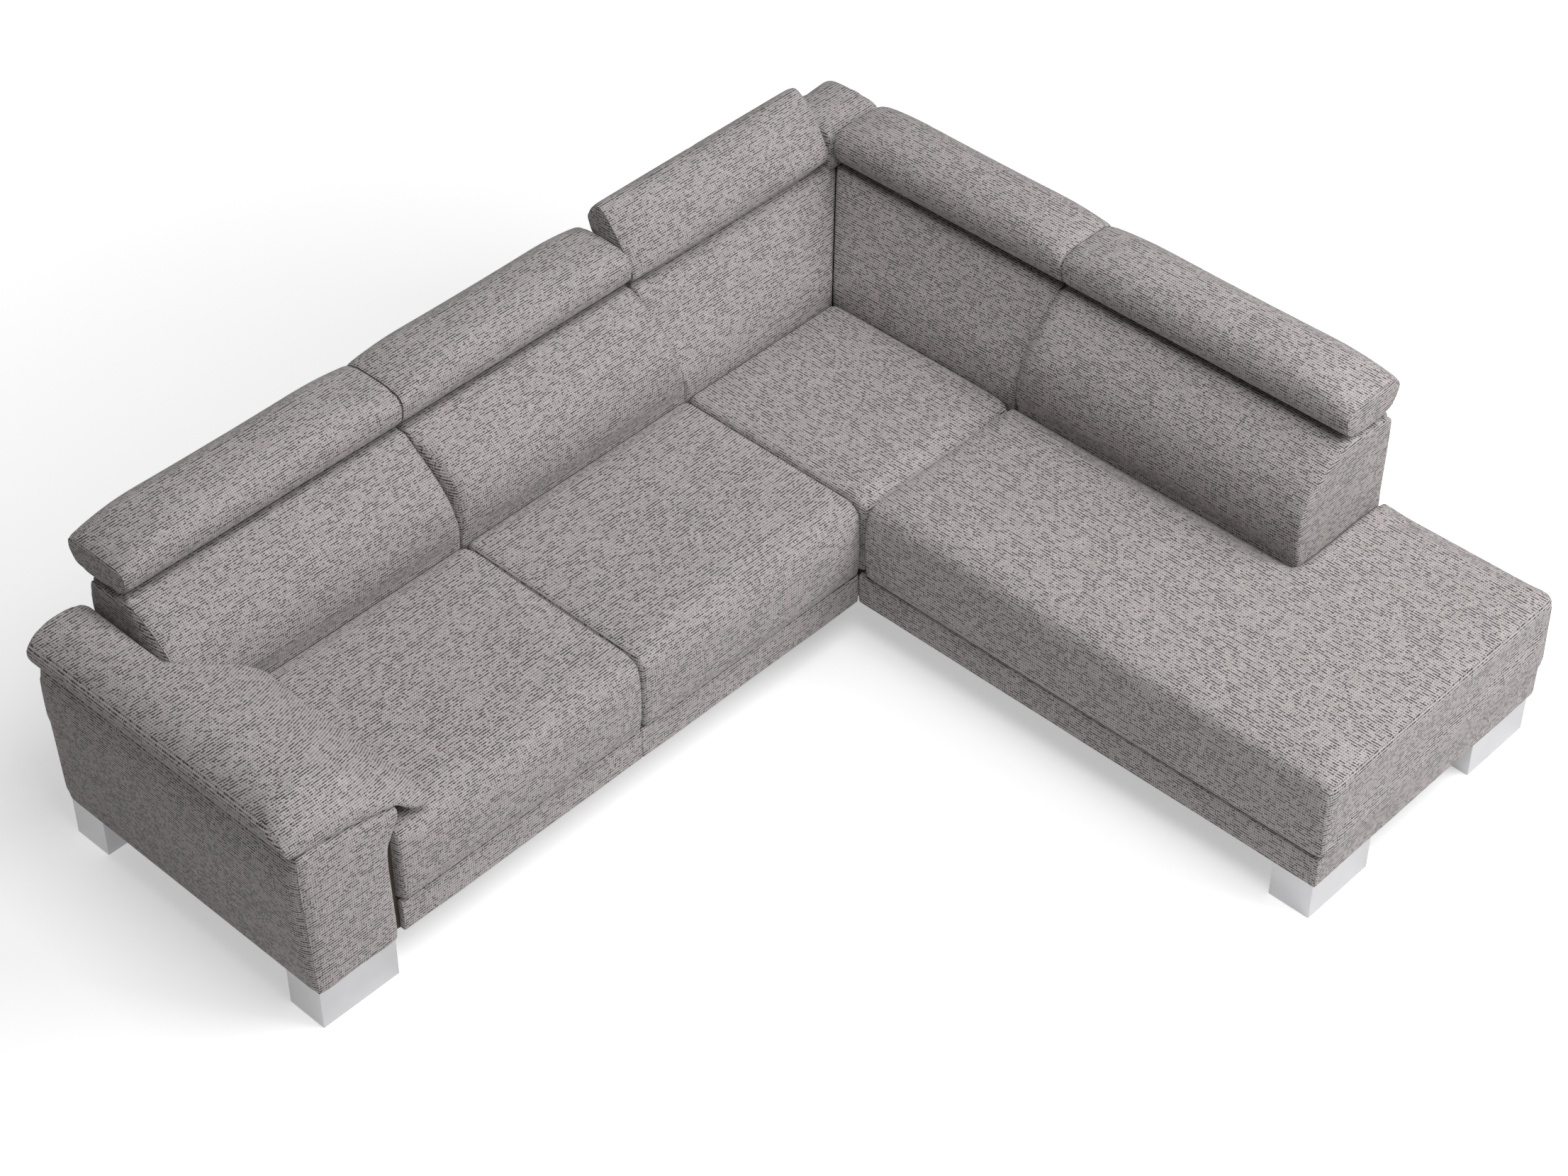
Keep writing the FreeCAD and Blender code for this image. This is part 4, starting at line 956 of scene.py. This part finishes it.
# Sections across the arm and its pad, beside the seat and, at the rear, beside the back
arm_outside = (
    (-1708, 112), (-1716, 140), (-1722, 235), (-1729, 378), (-1731, 469), (-1726, 530), (-1718, 548),
    (-1690, 549), (-1645, 541),
)
arm_foot = ((-1480, 250), (-1480, 125), (-1486, 112), (-1600, 112))
arm_section = (
    *arm_outside, (-1547, 524), (-1470, 504), (-1447, 497), (-1441, 484), (-1452, 455), (-1474, 415),
    (-1480, 380), *arm_foot,
)
arm_section_rear = (
    *arm_outside, (-1580, 530), (-1569, 524), (-1567, 512), (-1567, 500), (-1555, 497), (-1484, 496),
    (-1480, 480), *arm_foot,
)
pad_outside = (
    (-1722, 553), (-1735, 558), (-1746, 575), (-1748, 594), (-1738, 614), (-1716, 632), (-1683, 643),
)
pad_section = (
    *pad_outside, (-1640, 646), (-1590, 640), (-1546, 625), (-1505, 597), (-1466, 564), (-1412, 520),
    (-1378, 484), (-1355, 462), (-1349, 450), (-1356, 440), (-1375, 441), (-1405, 457), (-1436, 490),
    (-1449, 501), (-1480, 510), (-1560, 530), (-1660, 547),
)
pad_section_rear = (
    *pad_outside, (-1650, 646), (-1625, 643), (-1604, 639), (-1588, 632), (-1577, 622), (-1570, 608),
    (-1567, 595), (-1567, 580), (-1567, 570), (-1567, 560), (-1567, 552), (-1567, 544), (-1568, 538),
    (-1572, 534), (-1590, 536), (-1630, 542), (-1680, 549),
)


def arm_rings(front, rear, near, far, soft, change):
    """Outlines of the arm or its pad from front to rear; they change where the back begins."""
    stations = [*edge_stations(front, rear, soft, soft * 0.6, 14), (change - 1.0, 0.0), (change + 3.0, 0.0)]
    made = []
    for along, inset in sorted(stations):
        ring = smooth_ring(near if along < change else far, 3)
        centre = ring.mean(axis=0)
        away = ring - centre
        reach = np.maximum(np.linalg.norm(away, axis=1, keepdims=True), 1.0)
        made.append((along, centre + away * (1.0 - inset / reach)))
    return made


def sweep_back(name, rings):
    """A closed mesh of the long wing's cloth through rings of (x, z) points at places along Y."""
    return sweep(name, RIGHT, [(-along, ring) for along, ring in rings], LONG)


class SOFA_OT_arm(Operator):
    """Make the arm's cover and its rounded pad"""
    bl_idname = "sofa.arm"
    bl_label = "Arm"

    def execute(self, context):
        rings = arm_rings(-12.0, long_depth - 1.0, arm_section, arm_section_rear, 16.0, 568.0)
        arm = sweep_back("arm_side", rings)
        low, top, inner = 130, 500, -1484
        fill(arm, lambda p: (
            (p[:, 2] < low) | (p[:, 0] > inner) | (p[:, 2] > top) | (p[:, 1] > long_depth - 8)
        ))
        finish_piece(arm, ["arm_cover"])
        rings = arm_rings(-10.0, long_depth + 1.0, pad_section, pad_section_rear, 6.0, 566.0)
        pad = sweep_back("arm_pad_roll", [(along, self.nose(along, ring)) for along, ring in rings])
        outer_seam, inner_seam = (560, -1700), (535, -1440)
        fill(pad, lambda p: (
            (p[:, 2] < outer_seam[0]) & (p[:, 0] < outer_seam[1])
            | (p[:, 2] < inner_seam[0]) & (p[:, 0] < inner_seam[1]) | (p[:, 1] > long_depth - 13)
        ), fine_voxel)
        finish_piece(pad, ["arm_pad"])
        return {"FINISHED"}

    def nose(self, along, ring):
        """Round the pad's front down to the seam on the arm."""
        reach = 85.0
        share = min(max((along + 12.0) / reach, 0.0), 1.0)
        lift = 0.30 + 0.70 * math.sin(share * math.pi / 2) ** 0.8
        seam_line = np.interp(ring[:, 0], (-1731, -1645, -1547, -1445, -1349), (552, 541, 526, 498, 440))
        above = ring[:, 1] - seam_line
        rounded = ring.copy()
        rounded[:, 1] = seam_line + np.where(above > 0, above * lift, above)
        return rounded


# Aprons and rear covers


def panel_ring(near, far, low, high):
    """Outline of a padded board between two depths."""
    middle = (low + high) / 2
    soft = pad_soft
    return smooth_ring([
        (near + soft, low), (near + soft * 0.3, low + soft * 0.3), (near, low + soft), (near - 1.0, middle),
        (near, high - soft), (near + soft * 0.3, high - soft * 0.3), (near + soft, high),
        (far - 2, high), (far, high - 2), (far, middle), (far, low + 2), (far - 2, low),
    ], 3)


def panel(name, wing, start, end, near, low, high):
    """A padded board along a wing, its face at the near depth."""
    count = max(int((end - start) / 25.0), 4)
    far = near + pad_thick
    rings = [
        (along, panel_ring(near + inset * 0.5, far, low + inset * 0.4, high - inset * 0.4))
        for along, inset in edge_stations(start, end, pad_soft, pad_soft, count)
    ]
    made = sweep(name, wing, rings)
    ripple(made, 1.4 * MM, 0.16)
    return made


def outer_panel(name, wing, start, end, low, high):
    """A padded board on a wing's outer face: made facing inward and mirrored."""
    made = panel(name, wing, start, end, -wing_rear(wing), low, high)
    axis = Vector((0, 1, 0)) if wing == LONG else Vector((1, 0, 0))
    made.data.transform(
        Matrix.Translation(inner_corner) @ Matrix.Scale(-1.0, 4, axis) @ Matrix.Translation(-inner_corner)
    )
    made.data.flip_normals()
    return made


class SOFA_OT_aprons(Operator):
    """Make the padded aprons under the seats"""
    bl_idname = "sofa.aprons"
    bl_label = "Aprons"

    def execute(self, context):
        rows = (
            ("left", LONG, seats_left + 2, seat_division - 0.5, 0.0),
            ("middle", LONG, seat_division + 0.5, 0.0, 0.0),
            ("chaise_inner", RIGHT, 0.5, chaise_apron_end, 0.0),
            ("chaise_front", LONG, 0.5, wing_width - 0.5, -chaise_apron_end - 18.0),
        )
        for name, wing, start, end, near in rows:
            apron = panel("apron_pad_" + name, wing, start, end, near, apron_low, apron_high)
            finish_piece(apron, ["apron_" + name])
        outer = outer_panel("apron_pad_chaise_outer", RIGHT, wing_back_end + 0.5, chaise_apron_end,
                            apron_low, apron_high)
        finish_piece(outer, ["apron_chaise_outer"])
        return {"FINISHED"}


class SOFA_OT_rear_covers(Operator):
    """Make the covers behind both wings"""
    bl_idname = "sofa.rear_covers"
    bl_label = "Rear covers"

    def execute(self, context):
        top = rear_top - 2.0
        rows = (
            ("long", LONG, seats_left + 0.5, wing_width - 18.5, apron_low, ["rear_cover_long"]),
            ("over_arm", LONG, back_left + 17.0, seats_left - 0.5, 553.0, []),
            ("wing", RIGHT, -long_depth + 0.5, wing_back_end - 17.0, apron_low, ["rear_cover_wing"]),
        )
        for name, wing, start, end, low, nodes in rows:
            finish_piece(outer_panel("rear_pad_" + name, wing, start, end, low, top), nodes)
        return {"FINISHED"}


# Feet and the pieces below


class SOFA_OT_feet(Operator):
    """Make the metal block feet with eased edges"""
    bl_idname = "sofa.feet"
    bl_label = "Feet"

    def execute(self, context):
        for name in ("arm_front", "arm_rear", "chaise_left", "chaise_right", "corner_rear", "wing_rear"):
            low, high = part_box("foot_" + name)
            points = [(x, y, z) for z in (low.z, high.z) for y in (low.y, high.y) for x in (low.x, high.x)]
            faces = [(0, 2, 3, 1), (4, 5, 7, 6), (0, 1, 5, 4), (2, 6, 7, 3), (0, 4, 6, 2), (1, 3, 7, 5)]
            foot = mesh_object("metal_foot_" + name, points, faces, "satin_feet")
            bevel = foot.modifiers.new("Eased edges", "BEVEL")
            bevel.width = 1.2 * MM
            bevel.segments = 3
            bevel.harden_normals = True
            baked(foot)
            finish_piece(foot, ["foot_" + name])
        return {"FINISHED"}


class SOFA_OT_inner_pieces(Operator):
    """Give the frame, hinges, straps and linings their finishes"""
    bl_idname = "sofa.inner_pieces"
    bl_label = "Frame and hinges"

    def execute(self, context):
        finishes = {
            "timber": "frame_timber", "plywood": "frame_timber", "steel": "zinc_steel",
            "lining": "lining_cloth", "webbing": "strap_webbing", "plastic": "leg_plastic",
            "foot_metal": "satin_feet", "upholstery": "woven_cloth_long",
        }
        for row in frame["record"]["subparts"]:
            node = frame["nodes"][row["node"]]
            if node.hide_render:
                continue
            finish = finishes[row["material_slot"]]
            # Painted shade: the arm frame and the long rails take the near-black board so that the gaps
            # where they show look shaded.
            if row["node"] in ("arm_frame", "long_rails", "long_cross_rails"):
                finish = "dark_board"
            node.data.materials.clear()
            node.data.materials.append(material_named(finish))
        return {"FINISHED"}


class SOFA_OT_settle(Operator):
    """Fill the cushions: swell their cloth and let it settle"""
    bl_idname = "sofa.settle"
    bl_label = "Fill the cushions"

    def execute(self, context):
        settle()
        return {"FINISHED"}


# Seams


def seam(name, points, surface, wing, body="sofa_body", radius=1.7, closed=False):
    """A fine welt of a wing's cloth, laid along a line on a cushion's finished surface."""
    mesh = bpy.data.objects[surface].data
    tree = BVHTree.FromPolygons(
        [vertex.co for vertex in mesh.vertices], [tuple(face.vertices) for face in mesh.polygons]
    )
    line = [tree.find_nearest(point)[:2] for point in points]
    count = len(line)
    sides = 6
    rings = []
    for number, (place, normal) in enumerate(line):
        if closed:
            before, after = line[number - 1][0], line[(number + 1) % count][0]
        else:
            before, after = line[max(number - 1, 0)][0], line[min(number + 1, count - 1)][0]
        way = (after - before).normalized()
        side = way.cross(normal).normalized()
        up = side.cross(way).normalized()
        for turn in range(sides):
            angle = 2 * math.pi * turn / sides
            offset = side * math.cos(angle) + up * math.sin(angle)
            rings.append(place + offset * radius * MM)
    welt = mesh_object(name, rings, tube_faces(count, sides, closed), "woven_cloth_" + wing)
    make_outward(welt)
    finish_piece(welt, body=body)


class SOFA_OT_seams(Operator):
    """Lay the seams round the headrests' ends, the backs' ends, the chaise and the arm"""
    bl_idname = "sofa.seams"
    bl_label = "Seams"

    def execute(self, context):
        for name, wing, start, end, first, last in headrest_table:
            rest = "headrest_" + name
            turn = raised_turn(wing) if name == "corner" else Matrix()
            rings = headrest_rings(wing, start, end, first, last)
            for side, (along, ring) in (("start", rings[1]), ("end", rings[-2])):
                points = [turn @ to_row(wing, along, depth, height) for depth, height in ring]
                seam("seam_" + rest + "_" + side, points, rest, wing, rest, closed=True)
        self.back("left", LONG, back_left + 3)
        self.back("right_chaise", RIGHT, wing_back_end - 3)
        for side, x in (("left", -seat_nose - 1.0), ("right", wing_width + 4.0)):
            points = [to_row(LONG, x, chaise_front, 222 + 12 * step) for step in range(15)]
            seam("seam_chaise_" + side, points, "seat_chaise", RIGHT)
        points = [
            to_row(LONG, -1719.0 + 6 * math.cos(step / 6), -11.0, 125 + 20 * step) for step in range(21)
        ]
        seam("seam_arm_front", points, "arm_side", LONG)
        points = [to_row(LONG, -1735.0, 700.0, 130 + 20 * step) for step in range(20)]
        seam("seam_arm_side", points, "arm_side", LONG, radius=1.2)
        return {"FINISHED"}

    def back(self, name, wing, along):
        """Along the front edge of a back's end panel, above the arm or the chaise."""
        points = [
            to_row(wing, along, depth, height) for depth, height in back_ring(wing, 0.0, 2.0)
            if height > 505 and depth < seat_foot(wing) + 132
        ]
        seam("seam_back_" + name, points, "back_" + name, wing)


# Studio

white = (1.0, 1.0, 1.0, 1.0)
black = (0.0, 0.0, 0.0, 1.0)


def seen_by_camera(shade):
    """1 for what the camera sees itself, in a reflection or through glass, and 0 for lighting."""
    path = shade.tree.nodes.new("ShaderNodeLightPath")
    camera, glossy, through = [
        Shade(shade.tree, path.outputs[name])
        for name in ("Is Camera Ray", "Is Glossy Ray", "Is Transmission Ray")
    ]
    return camera.largest(glossy, through)


class SOFA_OT_studio(Operator):
    """Make the floor, the lights and the camera"""
    bl_idname = "sofa.studio"
    bl_label = "Studio"

    def execute(self, context):
        look = context.scene.studio_look
        self.floor(look)
        self.world(context, look)
        self.lamp("soft_key", look.key, 3.6, Vector((2.9, -4.2, 4.2)))
        self.lamp("soft_overhead", look.overhead, 4.0, Vector((-0.5, -2.2, 7.2)))
        self.camera(context, look)
        context.scene.view_settings.view_transform = "Standard"
        return {"FINISHED"}

    def floor(self, look):
        half = 14.0
        pale_from, white_from = 1.9, 5.5
        points = [(-half, -half, 0.0), (half, -half, 0.0), (half, half, 0.0), (-half, half, 0.0)]
        mesh = bpy.data.meshes.new("studio_floor")
        mesh.from_pydata(points, [], [(0, 1, 2, 3)])
        floor = placed("studio_floor", mesh)
        material, shade, shader = new_material("studio_floor")
        x, y = places(shade)[0][:2]
        distance = x.math("SQRT", x * x + y * y)
        glow = distance.ramp(pale_from, white_from).colour_between(rgba([look.floor_glow] * 3), white)
        shade.feed(shader, {
            "Base Color": rgba(look.floor_colour), "Roughness": 0.9, "Specular IOR Level": 0.1,
            "Emission Strength": 1.0, "Emission Color": seen_by_camera(shade).colour_between(black, glow),
        })
        mesh.materials.append(material)

    def world(self, context, look):
        world = bpy.data.worlds.new("studio_world")
        context.scene.world = world
        world.use_nodes = True
        tree = world.node_tree
        shade = Shade(tree)
        horizon_share = 0.35
        above = shade.node("ShaderNodeTexCoord", output="Generated").split()[2].largest(0.0)
        overhead = [look.ambient] * 3
        sky = (above * above).colour_between(rgba(overhead, horizon_share), rgba(overhead))
        shade.feed(tree.nodes["Background"], {"Color": seen_by_camera(shade).colour_between(sky, white)})

    def lamp(self, name, power, size, place):
        data = bpy.data.lights.new(name, "AREA")
        data.energy = power
        data.size = size
        lamp = placed(name, data)
        lamp.location = place
        target = Vector((0.1, 0.1, 0.4))
        lamp.rotation_euler = (place - target).to_track_quat("Z", "Y").to_euler()

    def camera(self, context, look):
        data = bpy.data.cameras.new("photo_camera")
        data.sensor_width = 36.0
        data.lens = look.focal_length
        data.clip_end = 60.0
        camera = placed("photo_camera", data)
        azimuth = math.radians(-46.63)
        elevation = math.radians(42.33)
        back = Vector((
            math.sin(azimuth) * math.cos(elevation),
            -math.cos(azimuth) * math.cos(elevation),
            math.sin(elevation),
        ))
        right = Vector((math.cos(azimuth), math.sin(azimuth), 0.0))
        up = back.cross(right)
        place = inner_corner + Vector((-4482.6, -3988.9, 5619.5)) * MM
        camera.matrix_world = Matrix.Translation(place) @ Matrix((right, up, back)).transposed().to_4x4()
        context.scene.camera = camera


class SOFA_PT_panel(Panel):
    """Lists the sofa's sizes, finishes and the steps that make it"""
    bl_idname = "SOFA_PT_panel"
    bl_label = "Corner sofa"
    bl_space_type = "VIEW_3D"
    bl_region_type = "UI"
    bl_category = "Sofa"

    def draw(self, context):
        layout = self.layout
        scene = context.scene
        for group in (scene.sofa_sizes, scene.sofa_finish, scene.studio_look):
            box = layout.box()
            for name in group.__annotations__:
                box.prop(group, name)
        for step in steps:
            layout.operator(step.bl_idname)


steps = (
    SOFA_OT_seats,
    SOFA_OT_backs,
    SOFA_OT_headrests,
    SOFA_OT_corner_block,
    SOFA_OT_arm,
    SOFA_OT_aprons,
    SOFA_OT_rear_covers,
    SOFA_OT_feet,
    SOFA_OT_inner_pieces,
    SOFA_OT_settle,
    SOFA_OT_seams,
    SOFA_OT_studio,
)
classes = (SofaSizes, SofaFinish, StudioLook, *steps, SOFA_PT_panel)


def register():
    for made in classes:
        bpy.utils.register_class(made)
    bpy.types.Scene.sofa_sizes = PointerProperty(type=SofaSizes)
    bpy.types.Scene.sofa_finish = PointerProperty(type=SofaFinish)
    bpy.types.Scene.studio_look = PointerProperty(type=StudioLook)


def unregister():
    del bpy.types.Scene.studio_look
    del bpy.types.Scene.sofa_finish
    del bpy.types.Scene.sofa_sizes
    for made in reversed(classes):
        bpy.utils.unregister_class(made)


def main():
    register()
    bpy.ops.sofa.seats()
    bpy.ops.sofa.backs()
    bpy.ops.sofa.headrests()
    bpy.ops.sofa.corner_block()
    bpy.ops.sofa.arm()
    bpy.ops.sofa.aprons()
    bpy.ops.sofa.rear_covers()
    bpy.ops.sofa.feet()
    bpy.ops.sofa.inner_pieces()
    bpy.ops.sofa.settle()
    bpy.ops.sofa.seams()
    bpy.ops.sofa.studio()


if __name__ == "__main__":
    main()
